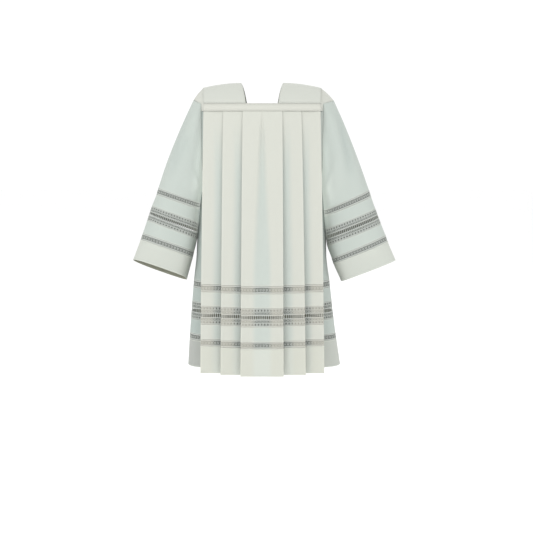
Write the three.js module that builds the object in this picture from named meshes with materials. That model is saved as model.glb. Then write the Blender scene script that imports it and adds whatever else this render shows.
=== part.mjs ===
// A pleated, square-necked cotta with lace insertions, hollow and open as it is when worn.
// Millimetres, +Z up. The wearer faces -Y, so the wearer's left is +X. The origin is on the
// centre plane, at the height where the shoulders carry the yoke.

import * as THREE from 'three';

// Driving dimensions

const SEAM_GAP = 0.3;
const WALL = { cloth: 1.2, lace: 1.0, hem: 1.6, yoke: 1.8 };

const YOKE = {
  neckHalfAtRidge: 77,
  neckHalfAtBand: 56,
  ridgeAtNeck: 18,
  ridgeFall: 18,
  ridgePower: 1.8,
  outerAtRidge: 211,
  outerAtBand: 205,
  bandHalf: 206,
  bandTop: -55,
  bandBottom: -81.6,
  bandLean: 7,
  slopePower: 1.9,
  frontDepth: 116.5,
  backDepth: 112.5,
  round: 36,
  seam: 0.8,
};

// The half width over which a panel's roundness is counted
const ROUND_HALF = 210;
const PANEL_TOP = -82.1;
const HEM = -1005;
const UNDERARM = -330;

// Cloth folded under at each pleat, the greatest blunt width of a pressed edge and its share of
// a layer, the sliver of the next face that starts clear of the fold edge above it, how the
// pleats spread downwards, how far the side starts behind the outermost fold, in steps of that
// fold, and the angles at which points round it
const PLEAT_LAP = 45;
const PLEAT_EDGE = 5;
const PLEAT_EDGE_SHARE = 0.9;
const PLEAT_CLEAR = 2;
const PLEAT_SPREAD_POWER = 0.8;
const SIDE_SETBACK = 1.75;
const SIDE_ANGLES = [0.62, 1.1];

// Fold edges from the centre outwards, as distances from the centre line
const PLEATS = {
  right: [
    { atYoke: 67, atHem: 76 },
    { atYoke: 135, atHem: 147 },
    { atYoke: 204, atHem: 220 },
  ],
  left: [
    { atYoke: 70, atHem: 75 },
    { atYoke: 136, atHem: 154 },
    { atYoke: 203, atHem: 221 },
  ],
};

// Level sections of the body. front and back are the depths of the centre face from the mid
// plane, round is how far a panel falls back at ROUND_HALF, layer is the step between pleat
// layers, outer is that step at the outermost fold, trough is the soft hollow down the centre,
// right and left are the half widths, armhole is the half depth of the armhole, and corner
// tells how square the side turns (1 is straight, 2 is an ellipse).
const BODY_SECTIONS = [
  { z: PANEL_TOP, front: 116, back: 112, round: 28, layer: 3.0, outer: 3.4, trough: 1.5,
    troughHalf: 6, right: 213, left: 213, armhole: 63, corner: 1 },
  { z: -190, front: 127, back: 119, round: 24, layer: 4.0, outer: 9, trough: 8,
    troughHalf: 13, right: 213, left: 213, armhole: 61, corner: 1 },
  { z: -275, front: 134, back: 123, round: 20, layer: 4.8, outer: 14, trough: 8,
    troughHalf: 18, right: 213, left: 213, armhole: 46, corner: 1 },
  { z: UNDERARM, front: 138, back: 124, round: 18, layer: 5.3, outer: 17, trough: 7.5,
    troughHalf: 21, right: 213, left: 213, armhole: 0, corner: 1.4 },
  { z: -510, front: 152, back: 136, round: 12, layer: 7, outer: 26, trough: 6,
    troughHalf: 27, right: 230.5, left: 225.5, armhole: 0, corner: 2.2 },
  { z: -600, front: 160, back: 143, round: 10, layer: 8, outer: 31, trough: 5,
    troughHalf: 29, right: 238, left: 232.5, armhole: 0, corner: 2.2 },
  { z: -686, front: 168, back: 150, round: 8, layer: 8.8, outer: 35, trough: 4.5,
    troughHalf: 30, right: 249, left: 244, armhole: 0, corner: 2.2 },
  { z: -850, front: 180, back: 161, round: 6, layer: 10, outer: 40, trough: 2.5,
    troughHalf: 30, right: 263.5, left: 264, armhole: 0, corner: 2.2 },
  { z: HEM, front: 190, back: 172, round: 4, layer: 11, outer: 44, trough: 0.5,
    troughHalf: 30, right: 274, left: 287, armhole: 0, corner: 2.2 },
];

// The pieces of each body panel, from the yoke down
const BODY_PIECES = [
  { name: 'body', top: PANEL_TOP, bottom: -686, finish: 'cloth' },
  { name: 'lace_upper', top: -686, bottom: -714, finish: 'lace' },
  { name: 'strip_upper', top: -714, bottom: -763.5, finish: 'cloth' },
  { name: 'lace_ladder', top: -763.5, bottom: -830, finish: 'lace', ladder: true },
  { name: 'strip_lower', top: -830, bottom: -882.5, finish: 'cloth' },
  { name: 'lace_lower', top: -882.5, bottom: -907, finish: 'lace' },
  { name: 'hem', top: -907, bottom: HEM, finish: 'hem' },
];

// The ladder of drawn threads along the middle of the wide lace
const LADDER = { pitch: 7.5, slot: 4.2, tall: 11.5, shortest: 9 };

// The armhole lies in an upright plane. Its upper edge runs over the shoulder at the cap's reach.
const ARMHOLE = { x: 213, sleeveX: 213.9, cornerZ: -58, cornerDepth: 64, arcDepth: 40 };
const CAP = {
  right: { reach: 243, z: -42 },
  left: { reach: 254, z: -44 },
  lap: 12,
  edge: 1,
  under: 2.4,
  underSlope: 1.4,
  behindBand: 2.5,
};

// Rings of each sleeve: its top line, its under line, half its depth, how far its middle leans
// forward, and how much lower the back of the ring hangs than the front.
const SLEEVES = {
  right: [
    { name: 'shoulder', topX: 264, topZ: -84, underX: 216, underZ: -345, depth: 71, lean: 0, drop: 0 },
    { name: 'upper arm', topX: 306, topZ: -176, underX: 218.5, underZ: -368, depth: 73, lean: -2, drop: 3 },
    { name: 'elbow', topX: 341, topZ: -262, underX: 222, underZ: -388, depth: 72, lean: -4, drop: 7 },
    { name: 'upper lace', topX: 373, topZ: -355, underX: 226, underZ: -407, depth: 69, lean: -7, drop: 12 },
    { name: 'upper strip', topX: 380, topZ: -378, underX: 228, underZ: -430, depth: 68, lean: -8, drop: 14 },
    { name: 'ladder', topX: 397, topZ: -420, underX: 231, underZ: -479, depth: 66, lean: -9, drop: 17 },
    { name: 'lower strip', topX: 415, topZ: -472, underX: 238, underZ: -540, depth: 63, lean: -10, drop: 21 },
    { name: 'lower lace', topX: 432, topZ: -520, underX: 249, underZ: -585, depth: 60, lean: -11, drop: 25 },
    { name: 'cuff', topX: 440, topZ: -543, underX: 255, underZ: -609, depth: 59, lean: -12, drop: 26 },
    { name: 'cuff edge', topX: 468, topZ: -616, underX: 276, underZ: -684, depth: 55, lean: -14, drop: 31 },
  ],
  left: [
    { name: 'shoulder', topX: 273, topZ: -84, underX: 216, underZ: -350, depth: 71, lean: 0, drop: 0 },
    { name: 'upper arm', topX: 313, topZ: -176, underX: 218, underZ: -378, depth: 73, lean: -2, drop: 0 },
    { name: 'elbow', topX: 347, topZ: -262, underX: 220.5, underZ: -404, depth: 72, lean: -4, drop: 2 },
    { name: 'upper lace', topX: 383, topZ: -361, underX: 223, underZ: -431, depth: 69, lean: -7, drop: 4 },
    { name: 'upper strip', topX: 391, topZ: -385, underX: 225, underZ: -454, depth: 68, lean: -8, drop: 5 },
    { name: 'ladder', topX: 407, topZ: -428, underX: 229, underZ: -499, depth: 66, lean: -9, drop: 6 },
    { name: 'lower strip', topX: 428, topZ: -483, underX: 236, underZ: -561, depth: 63, lean: -10, drop: 8 },
    { name: 'lower lace', topX: 445, topZ: -524, underX: 252, underZ: -606, depth: 60, lean: -11, drop: 9 },
    { name: 'cuff', topX: 453, topZ: -547, underX: 259, underZ: -627, depth: 59, lean: -12, drop: 10 },
    { name: 'cuff edge', topX: 483, topZ: -616, underX: 288, underZ: -692, depth: 55, lean: -14, drop: 12 },
  ],
};

// The pieces of each sleeve, by the rings that they run between. The last is the cuff's edge.
const SLEEVE_PIECES = [
  { name: 'sleeve_lace_upper', from: 'upper lace', to: 'upper strip', finish: 'lace' },
  { name: 'sleeve_strip_upper', from: 'upper strip', to: 'ladder', finish: 'cloth' },
  { name: 'sleeve_lace_ladder', from: 'ladder', to: 'lower strip', finish: 'lace', ladder: true },
  { name: 'sleeve_strip_lower', from: 'lower strip', to: 'lower lace', finish: 'cloth' },
  { name: 'sleeve_lace_lower', from: 'lower lace', to: 'cuff', finish: 'lace' },
  { name: 'cuff', from: 'cuff', to: 'cuff edge', finish: 'hem' },
];

// Points round half a sleeve, from its top line to its under line, how square its ring is, and
// the seam between two of its pieces, measured along the top line, which is the longer one
const HALF_RING = 8;
const RING_SQUARENESS = 2.2;
const SLEEVE_SEAM = 0.4;

// Where the yoke has points: down each shoulder piece from its ridge, across it from the neck,
// and across half a band
const SHOULDER_DOWN = [0, 0.3, 0.55, 0.8, 1];
const SHOULDER_ACROSS = [0, 0.3, 0.65, 1];
const BAND_ACROSS = [0, 0.27, 0.52, 0.78, 1];

const MITER_LIMIT = 1.5;

const SIDES = [
  { name: 'right', sign: -1 },
  { name: 'left', sign: 1 },
];
const FACES = [
  { name: 'front', sign: -1 },
  { name: 'back', sign: 1 },
];

const FINISHES = {
  cloth: new THREE.MeshStandardMaterial({ color: 0xe2e3da, roughness: 0.9, metalness: 0 }),
  hem: new THREE.MeshStandardMaterial({ color: 0xe6e5d6, roughness: 0.9, metalness: 0 }),
  yoke: new THREE.MeshStandardMaterial({ color: 0xe0e4dc, roughness: 0.9, metalness: 0 }),
  lace: new THREE.MeshStandardMaterial({ color: 0xbdb9ac, roughness: 0.95, metalness: 0 }),
};

// Small helpers

const mix = (a, b, t) => a + (b - a) * t;
const mixPoints = (a, b, t) => new THREE.Vector3().lerpVectors(a, b, t);

// Shares from 0 up to 1, and the same on the other side, as one list from -1 to 1
const mirrored = (shares) => [...shares.slice(1).reverse().map((s) => -s), ...shares];

function mixRows(a, b, t) {
  const made = {};
  for (const key of Object.keys(a)) {
    if (typeof a[key] === 'number') made[key] = mix(a[key], b[key], t);
  }
  return made;
}

// Walls

// Collects the triangles of one closed body.
class Shell {
  constructor() {
    this.points = [];
    this.faces = [];
  }

  point(p) {
    this.points.push(p.x, p.y, p.z);
    return this.points.length / 3 - 1;
  }

  polygon(...corners) {
    for (let i = 1; i + 1 < corners.length; i += 1) {
      this.faces.push(corners[0], corners[i], corners[i + 1]);
    }
  }

  // The two skins of a patch, each given anticlockwise as seen from outside.
  skins(...corners) {
    this.polygon(...corners.map((c) => c.outer));
    this.polygon(...corners.map((c) => c.inner).reverse());
  }

  // The narrow face between the skins, along an edge given from a to b.
  rim(a, b) {
    this.polygon(a.outer, b.outer, b.inner, a.inner);
  }

  geometry() {
    const made = new THREE.BufferGeometry();
    made.setAttribute('position', new THREE.Float32BufferAttribute(this.points, 3));
    made.setIndex(this.faces);
    made.computeVertexNormals();
    return made;
  }
}

// The direction of a wall at each point of a grid, long enough to keep the wall's thickness
// where it turns a corner.
function wallDirections(rows, closed) {
  const down = rows.length;
  const across = rows[0].length;
  const cellsAcross = closed ? across : across - 1;
  const normals = [];
  for (let r = 0; r + 1 < down; r += 1) {
    normals.push([]);
    for (let c = 0; c < cellsAcross; c += 1) {
      const next = (c + 1) % across;
      const one = new THREE.Vector3().subVectors(rows[r + 1][next], rows[r][c]);
      const two = new THREE.Vector3().subVectors(rows[r][next], rows[r + 1][c]);
      normals[r].push(one.cross(two).normalize());
    }
  }
  return rows.map((row, r) => row.map((_, c) => {
    const near = [];
    for (const nr of [r - 1, r]) {
      for (const nc of [c - 1, c]) {
        const wrapped = closed ? (nc + across) % across : nc;
        if (normals[nr] && normals[nr][wrapped]) near.push(normals[nr][wrapped]);
      }
    }
    const sum = new THREE.Vector3();
    for (const n of near) sum.add(n);
    sum.normalize();
    const turn = near.reduce((least, n) => Math.min(least, n.dot(sum)), 1);
    return sum.multiplyScalar(1 / Math.max(turn, 1 / MITER_LIMIT));
  }));
}

// Turns a direction into the plane square to an axis, so that a wall ends flat against a seam.
function flattened(direction, axis) {
  const length = direction.length();
  const made = direction.clone();
  made[axis] = 0;
  return made.normalize().multiplyScalar(length);
}

// Where the slots of a ladder start and end across a cell, as shares of its width.
function slotShares(width) {
  if (width < LADDER.shortest) return [];
  const count = Math.round(width / LADDER.pitch);
  const step = 1 / count;
  const half = LADDER.slot / width / 2;
  return Array.from({ length: count }, (_, i) => {
    const middle = (i + 0.5) * step;
    return { start: middle - half, end: middle + half };
  });
}

// A wall through a grid of points. Its rows run from top to bottom, and its columns run
// anticlockwise as seen from above, so its first skin is the outer one. A ladder has four rows
// and its slots are cut in the middle one, in the columns that hasSlots picks. The axes are those
// that a wall ends square to: at its two ends, at its first row, and at its first and last row.
function wall({
  rows, thickness, closed = false, endAxis = null, rowAxis = null, seamAxis = null, hasSlots = null,
}) {
  const shell = new Shell();
  const down = rows.length;
  const across = rows[0].length;
  const cellsAcross = closed ? across : across - 1;
  const directions = wallDirections(rows, closed);
  const place = (p, direction) => ({
    p,
    direction,
    outer: shell.point(p.clone().addScaledVector(direction, thickness / 2)),
    inner: shell.point(p.clone().addScaledVector(direction, -thickness / 2)),
  });
  const grid = rows.map((row, r) => row.map((p, c) => {
    let direction = directions[r][c];
    const atEnd = !closed && (c === 0 || c === across - 1);
    if (atEnd && endAxis) direction = flattened(direction, endAxis(r));
    if (rowAxis && r === 0) direction = flattened(direction, rowAxis);
    if (seamAxis && (r === 0 || r === down - 1)) direction = flattened(direction, seamAxis);
    return place(p, direction);
  }));
  const between = (a, b, share) =>
    place(mixPoints(a.p, b.p, share), mixPoints(a.direction, b.direction, share));

  for (let c = 0; c < cellsAcross; c += 1) {
    const next = (c + 1) % across;
    const width = grid[0][c].p.distanceTo(grid[0][next].p);
    const slots = hasSlots && hasSlots(c) ? slotShares(width) : [];
    if (slots.length) {
      slottedCells(shell, grid, c, next, slots, between);
    } else {
      for (let r = 0; r + 1 < down; r += 1) {
        shell.skins(grid[r][c], grid[r + 1][c], grid[r + 1][next], grid[r][next]);
      }
    }
    shell.rim(grid[0][c], grid[0][next]);
    shell.rim(grid[down - 1][next], grid[down - 1][c]);
  }
  if (!closed) {
    for (let r = 0; r + 1 < down; r += 1) {
      shell.rim(grid[r + 1][0], grid[r][0]);
      shell.rim(grid[r][across - 1], grid[r + 1][across - 1]);
    }
  }
  return shell.geometry();
}

// One column of a ladder: a rail, the bars with open slots between them, and a rail.
function slottedCells(shell, grid, c, next, slots, between) {
  const edge = (row) => {
    const made = [row[c]];
    for (const slot of slots) {
      made.push(between(row[c], row[next], slot.start), between(row[c], row[next], slot.end));
    }
    made.push(row[next]);
    return made;
  };
  const upper = edge(grid[1]);
  const lower = edge(grid[2]);
  const half = Math.floor(upper.length / 2);
  for (let i = 0; i + 1 < upper.length; i += 1) {
    const topCorner = i < half ? grid[0][c] : grid[0][next];
    const lowCorner = i < half ? grid[3][c] : grid[3][next];
    shell.skins(topCorner, upper[i], upper[i + 1]);
    shell.skins(lowCorner, lower[i + 1], lower[i]);
    const isBar = i % 2 === 0;
    if (isBar) {
      shell.skins(upper[i], lower[i], lower[i + 1], upper[i + 1]);
    } else {
      shell.rim(upper[i], lower[i]);
      shell.rim(lower[i], lower[i + 1]);
      shell.rim(lower[i + 1], upper[i + 1]);
      shell.rim(upper[i + 1], upper[i]);
    }
  }
  shell.skins(grid[0][c], upper[half], grid[0][next]);
  shell.skins(grid[3][next], lower[half], grid[3][c]);
}

// Body panels

function bodySection(z) {
  const last = BODY_SECTIONS.length - 1;
  let i = BODY_SECTIONS.findIndex((row) => row.z <= z);
  if (i < 0) i = last;
  if (i === 0) return BODY_SECTIONS[0];
  const above = BODY_SECTIONS[i - 1];
  const below = BODY_SECTIONS[i];
  return mixRows(above, below, (above.z - z) / (above.z - below.z));
}

// One half of a panel's section, from the centre outwards: the top box, two knife pleats whose
// edges point outwards, the outermost fold, and the side as far as its seam or the armhole.
// Each point is a distance from the centre line and a depth from the mid plane.
function halfSection(z, face, side) {
  const section = bodySection(z);
  const spread = ((PANEL_TOP - z) / (PANEL_TOP - HEM)) ** PLEAT_SPREAD_POWER;
  const folds = PLEATS[side.name].map((fold) => mix(fold.atYoke, fold.atHem, spread));
  const centre = section[face.name];
  const depthAt = (x, layers) =>
    centre - section.round * (x / ROUND_HALF) ** 2 - layers * section.layer;
  const edge = Math.min(section.layer * PLEAT_EDGE_SHARE, PLEAT_EDGE);
  const points = [
    { x: 0, depth: centre - section.trough },
    { x: section.troughHalf / 2, depth: depthAt(section.troughHalf / 2, 0) - section.trough / 2 },
    { x: section.troughHalf, depth: depthAt(section.troughHalf, 0) },
  ];
  const [inner, middle, outer] = folds;
  let layers = 0;
  for (const fold of [inner, middle]) {
    const front = depthAt(fold, layers);
    const turned = fold - PLEAT_LAP;
    points.push(
      { x: fold, depth: front },
      { x: fold, depth: front - edge },
      { x: turned, depth: depthAt(turned, layers + 1) },
      { x: turned, depth: depthAt(turned, layers + 2) },
    );
    layers += 2;
    const clear = fold + PLEAT_CLEAR;
    points.push({ x: clear, depth: depthAt(clear, layers) });
  }
  const front = depthAt(outer, layers);
  const turned = outer - PLEAT_LAP;
  const sideDepth = front - SIDE_SETBACK * section.outer;
  points.push(
    { x: outer, depth: front },
    { x: outer, depth: front - edge },
    { x: turned, depth: front - section.outer },
    { x: turned, depth: sideDepth },
  );
  const end = { x: section[side.name], depth: Math.max(section.armhole, SEAM_GAP / 2) };
  const power = 2 / section.corner;
  for (const angle of SIDE_ANGLES) {
    points.push({
      x: mix(turned, end.x, Math.sin(angle) ** power),
      depth: mix(end.depth, sideDepth, Math.cos(angle) ** power),
    });
  }
  points.push(end);
  return points;
}

const CENTRE_COLUMNS = 3;
const FOLD_COLUMNS = 5;
const OUTER_COLUMNS = 4;

// The columns of half a section that lie on a face which shows, from the centre outwards.
function showsOutside(column) {
  if (column < CENTRE_COLUMNS) return true;
  const onFold = column - CENTRE_COLUMNS;
  if (onFold < 2 * FOLD_COLUMNS) return onFold % FOLD_COLUMNS === FOLD_COLUMNS - 1;
  return onFold >= 2 * FOLD_COLUMNS + OUTER_COLUMNS;
}

function panelRow(z, face) {
  const [rightHalf, leftHalf] = SIDES.map((side) =>
    halfSection(z, face, side).map(
      ({ x, depth }) => new THREE.Vector3(side.sign * x, face.sign * depth, z),
    ));
  const row = [...rightHalf.reverse(), ...leftHalf.slice(1)];
  return face.sign < 0 ? row : row.reverse();
}

function panelPiece(piece, face) {
  const top = piece.top === PANEL_TOP ? piece.top : piece.top - SEAM_GAP;
  const levels = [top];
  if (piece.ladder) {
    const middle = (piece.top + piece.bottom) / 2;
    levels.push(middle + LADDER.tall / 2, middle - LADDER.tall / 2);
  }
  if (piece.name === 'body') {
    for (const { z } of BODY_SECTIONS) if (z < piece.top && z > piece.bottom) levels.push(z);
  }
  levels.push(piece.bottom);
  const rows = levels.map((z) => panelRow(z, face));
  const centreColumn = (rows[0].length - 1) / 2;
  const hasSlots = (column) => {
    const outwards = column < centreColumn ? centreColumn - 1 - column : column - centreColumn;
    return showsOutside(outwards);
  };
  return wall({
    rows,
    thickness: WALL[piece.finish],
    endAxis: (r) => (levels[r] > UNDERARM ? 'x' : 'y'),
    seamAxis: 'z',
    hasSlots: piece.ladder ? hasSlots : null,
  });
}

// Yoke

const yokeDepth = (x, face) =>
  (face.sign < 0 ? YOKE.frontDepth : YOKE.backDepth) - YOKE.round * (x / ROUND_HALF) ** 2;

function ridgeHeight(x) {
  const reach = YOKE.outerAtRidge - YOKE.neckHalfAtRidge;
  const share = THREE.MathUtils.clamp((x - YOKE.neckHalfAtRidge) / reach, 0, 1);
  return YOKE.ridgeAtNeck - YOKE.ridgeFall * share ** YOKE.ridgePower;
}

// The height of a shoulder piece, at a distance x from the centre line and a signed depth y.
function shoulderHeight(x, y) {
  const face = y < 0 ? FACES[0] : FACES[1];
  const share = Math.abs(y) / (yokeDepth(x, face) - YOKE.bandLean);
  const fall = ridgeHeight(x) - YOKE.bandTop - YOKE.seam;
  return ridgeHeight(x) - fall * share ** YOKE.slopePower;
}

function shoulderPiece(side) {
  const shares = mirrored(SHOULDER_DOWN);
  const rows = shares.map((share) => {
    const down = Math.abs(share);
    const face = share < 0 ? FACES[0] : FACES[1];
    const neck = mix(YOKE.neckHalfAtRidge, YOKE.neckHalfAtBand, down);
    const outer = mix(YOKE.outerAtRidge, YOKE.outerAtBand, down);
    const row = SHOULDER_ACROSS.map((c) => {
      const x = mix(neck, outer, c);
      const y = share * (yokeDepth(x, face) - YOKE.bandLean);
      return new THREE.Vector3(side.sign * x, y, shoulderHeight(x, y));
    });
    return side.sign < 0 ? row.reverse() : row;
  });
  return wall({ rows: rows.reverse(), thickness: WALL.yoke });
}

function yokeBand(face) {
  const rows = [
    { z: YOKE.bandTop, lean: YOKE.bandLean },
    { z: YOKE.bandBottom, lean: 0 },
  ].map(({ z, lean }) => {
    const row = mirrored(BAND_ACROSS).map((c) => {
      const x = c * YOKE.bandHalf;
      return new THREE.Vector3(x, face.sign * (yokeDepth(x, face) - lean), z);
    });
    return face.sign < 0 ? row : row.reverse();
  });
  return wall({ rows, thickness: WALL.yoke });
}

// The upper edge of the armhole, from the corner behind the front yoke over the shoulder.
function armholeArc(side) {
  const { reach, z } = CAP[side.name];
  return mirrored([0, ARMHOLE.arcDepth / ARMHOLE.cornerDepth, 1]).map((share) => new THREE.Vector3(
    mix(reach, ARMHOLE.x, share ** 2),
    share * ARMHOLE.cornerDepth,
    mix(z, ARMHOLE.cornerZ, share ** 2),
  ));
}

// The piece that drops from under the shoulder's edge to the top of the sleeve.
function capPiece(side) {
  const arc = armholeArc(side);
  const lowest = PANEL_TOP + SEAM_GAP;
  const rows = arc.map((outer) => {
    const share = Math.abs(outer.y) / ARMHOLE.cornerDepth;
    const edge = mix(YOKE.outerAtRidge, YOKE.outerAtBand, share);
    const below = CAP.under * (1 + CAP.underSlope * share);
    const under = [edge - CAP.lap, edge - CAP.edge].map((x) =>
      new THREE.Vector3(x, outer.y, shoulderHeight(x, outer.y) - below));
    return [...under, outer];
  });
  const behindBand = (row, face, z) => {
    const lean = YOKE.bandLean * ((z - YOKE.bandBottom) / (YOKE.bandTop - YOKE.bandBottom));
    const depth = (x) => yokeDepth(x, face) - lean - CAP.behindBand;
    const under = row.slice(0, -1).map((p) => new THREE.Vector3(p.x, face.sign * depth(p.x), z));
    return [...under, new THREE.Vector3(ARMHOLE.x, row[row.length - 1].y, z)];
  };
  const [front, back] = FACES;
  const last = rows.length - 1;
  rows[0] = behindBand(rows[0], front, ARMHOLE.cornerZ);
  rows[last] = behindBand(rows[last], back, ARMHOLE.cornerZ);
  rows.unshift(behindBand(rows[0], front, lowest));
  rows.push(behindBand(rows[rows.length - 1], back, lowest));
  const placed = rows.map((row) => {
    const made = row.map((p) => new THREE.Vector3(side.sign * p.x, p.y, p.z));
    return side.sign < 0 ? made.reverse() : made;
  });
  return wall({ rows: placed.reverse(), thickness: WALL.cloth });
}

// Sleeves

// Half of the sleeve's first ring, from the shoulder down one edge of the armhole.
function armholeHalf(side, face) {
  const arc = armholeArc(side).filter((p) => p.y * face.sign >= 0);
  if (face.sign < 0) arc.reverse();
  const [panelTop, chest, ribs, underarm] = BODY_SECTIONS;
  const edge = [
    [panelTop.z, panelTop.armhole],
    [(panelTop.z + chest.z) / 2, (panelTop.armhole + chest.armhole) / 2],
    [chest.z, chest.armhole],
    [ribs.z, ribs.armhole],
    [(ribs.z + underarm.z) / 2, (ribs.armhole + underarm.armhole) / 2],
    [underarm.z, underarm.armhole],
  ].map(([z, depth]) => new THREE.Vector3(ARMHOLE.x, face.sign * depth, z));
  const clear = ARMHOLE.sleeveX - ARMHOLE.x;
  return [...arc, ...edge].map((p) => new THREE.Vector3(p.x + clear, p.y, p.z));
}

function sleeveHalf(ring, face) {
  const made = [];
  const power = 2 / RING_SQUARENESS;
  for (let i = 0; i <= HALF_RING; i += 1) {
    const angle = (i * Math.PI) / HALF_RING;
    const along = Math.sign(Math.cos(angle)) * Math.abs(Math.cos(angle)) ** power;
    const out = Math.abs(Math.sin(angle)) ** power;
    made.push(new THREE.Vector3(
      mix(ring.underX, ring.topX, (1 + along) / 2),
      ring.lean + face.sign * out * ring.depth,
      mix(ring.underZ, ring.topZ, (1 + along) / 2) - (out * (face.sign * ring.drop)) / 2,
    ));
  }
  return made;
}

// Joins the two halves of a ring into one that runs anticlockwise as seen from above.
function joinedRing(side, halfOf) {
  const [front, back] = FACES.map(halfOf);
  const round = [...front, ...back.slice(1, -1).reverse()];
  const placed = round.map((p) => new THREE.Vector3(side.sign * p.x, p.y, p.z));
  return side.sign < 0 ? placed : [placed[0], ...placed.slice(1).reverse()];
}

// A ring of the sleeve moved by some millimetres towards the next one.
function movedRing(rings, name, shift) {
  const i = rings.findIndex((ring) => ring.name === name);
  if (!shift) return rings[i];
  const length = Math.hypot(
    rings[i + 1].topX - rings[i].topX,
    rings[i + 1].topZ - rings[i].topZ,
  );
  return mixRows(rings[i], rings[i + 1], shift / length);
}

function upperSleeve(side) {
  const rings = SLEEVES[side.name];
  const last = rings.findIndex((ring) => ring.name === 'upper lace');
  const rows = [
    joinedRing(side, (face) => armholeHalf(side, face)),
    ...rings.slice(0, last + 1).map((ring) => joinedRing(side, (face) => sleeveHalf(ring, face))),
  ];
  return wall({ rows, thickness: WALL.cloth, closed: true, rowAxis: 'x' });
}

function sleevePiece(piece, side) {
  const rings = SLEEVES[side.name];
  const ends = [movedRing(rings, piece.from, SLEEVE_SEAM), movedRing(rings, piece.to, 0)];
  const rows = ends.map((ring) => joinedRing(side, (face) => sleeveHalf(ring, face)));
  return wall({ rows, thickness: WALL[piece.finish], closed: true });
}

// Half of the sleeve's wide lace, with its ladder cut through.
function sleeveLadder(piece, side, face) {
  const rings = SLEEVES[side.name];
  const top = movedRing(rings, piece.from, SLEEVE_SEAM);
  const bottom = movedRing(rings, piece.to, 0);
  const tall = Math.hypot(bottom.topX - top.topX, bottom.topZ - top.topZ);
  const share = LADDER.tall / tall / 2;
  const rows = [0, 0.5 - share, 0.5 + share, 1].map((t) => {
    const half = sleeveHalf(mixRows(top, bottom, t), face);
    half[0].y += face.sign * SEAM_GAP;
    half[half.length - 1].y += face.sign * SEAM_GAP;
    const placed = half.map((p) => new THREE.Vector3(side.sign * p.x, p.y, p.z));
    return side.sign * face.sign > 0 ? placed : placed.reverse();
  });
  return wall({ rows, thickness: WALL[piece.finish], hasSlots: () => true });
}

// The garment

const cotta = new THREE.Group();

function add(name, geometry, finish) {
  const mesh = new THREE.Mesh(geometry, FINISHES[finish]);
  mesh.name = name;
  cotta.add(mesh);
}

for (const face of FACES) {
  add(`yoke_band_${face.name}`, yokeBand(face), 'yoke');
  for (const piece of BODY_PIECES) {
    add(`${piece.name}_${face.name}`, panelPiece(piece, face), piece.finish);
  }
}

for (const side of SIDES) {
  add(`shoulder_${side.name}`, shoulderPiece(side), 'yoke');
  add(`shoulder_cap_${side.name}`, capPiece(side), 'yoke');
  add(`sleeve_${side.name}`, upperSleeve(side), 'cloth');
  for (const piece of SLEEVE_PIECES) {
    if (piece.ladder) {
      for (const face of FACES) {
        add(`${piece.name}_${side.name}_${face.name}`, sleeveLadder(piece, side, face), piece.finish);
      }
    } else {
      add(`${piece.name}_${side.name}`, sleevePiece(piece, side), piece.finish);
    }
  }
}

export default cotta;
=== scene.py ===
"""A pleated, square-necked cotta with lace insertions, hollow and open as it is when worn.

The wearer faces -Y and the wearer's left is +X. Every cloth piece follows one smooth surface of
its panel or sleeve, and the lace and the sewing are made flat and then laid on that surface.
Sizes in the tables are millimetres, and meshes are metres.
"""

import logging
import math
from dataclasses import astuple, dataclass
from enum import Enum
from typing import Callable, Iterable, Optional, Sequence, Union

import bmesh
import bpy
import numpy as np
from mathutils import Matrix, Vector


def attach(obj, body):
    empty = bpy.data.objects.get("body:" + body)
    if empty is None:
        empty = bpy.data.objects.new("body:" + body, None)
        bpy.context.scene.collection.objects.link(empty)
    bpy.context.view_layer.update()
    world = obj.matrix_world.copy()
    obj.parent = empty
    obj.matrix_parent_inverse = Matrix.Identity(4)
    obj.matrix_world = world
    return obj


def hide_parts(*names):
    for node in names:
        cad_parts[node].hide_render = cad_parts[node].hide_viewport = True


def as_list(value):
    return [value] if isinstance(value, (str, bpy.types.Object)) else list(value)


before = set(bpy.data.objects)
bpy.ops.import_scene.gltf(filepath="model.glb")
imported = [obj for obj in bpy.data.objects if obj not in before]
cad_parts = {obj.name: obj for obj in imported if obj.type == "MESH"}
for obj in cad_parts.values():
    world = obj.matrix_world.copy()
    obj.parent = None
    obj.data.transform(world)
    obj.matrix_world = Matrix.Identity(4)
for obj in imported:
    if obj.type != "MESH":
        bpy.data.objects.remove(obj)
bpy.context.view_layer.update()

MM = 0.001
log = logging.getLogger("cotta")


class Face(Enum):
    """The two panels of the body."""

    FRONT = "front"
    BACK = "back"

    @property
    def sign(self) -> int:
        """The direction of the panel along Y."""
        return -1 if self is Face.FRONT else 1


class Side(Enum):
    """The wearer's two sides."""

    RIGHT = "right"
    LEFT = "left"

    @property
    def sign(self) -> int:
        """The direction of the side along X."""
        return -1 if self is Side.RIGHT else 1


class Slot(Enum):
    """The material slots."""

    CLOTH = "cloth"
    LACE = "lace"
    HEM = "hem"
    YOKE = "yoke"


class Held(Enum):
    """How a sheet of cloth is held."""

    HUNG = "hung"
    DRAPED = "draped"


class End(Enum):
    """How a flat cord ends."""

    CAPPED = "capped"
    MEETING = "meeting the next repeat"
    CLOSED = "closed on itself"


# Sizes of the garment


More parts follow.
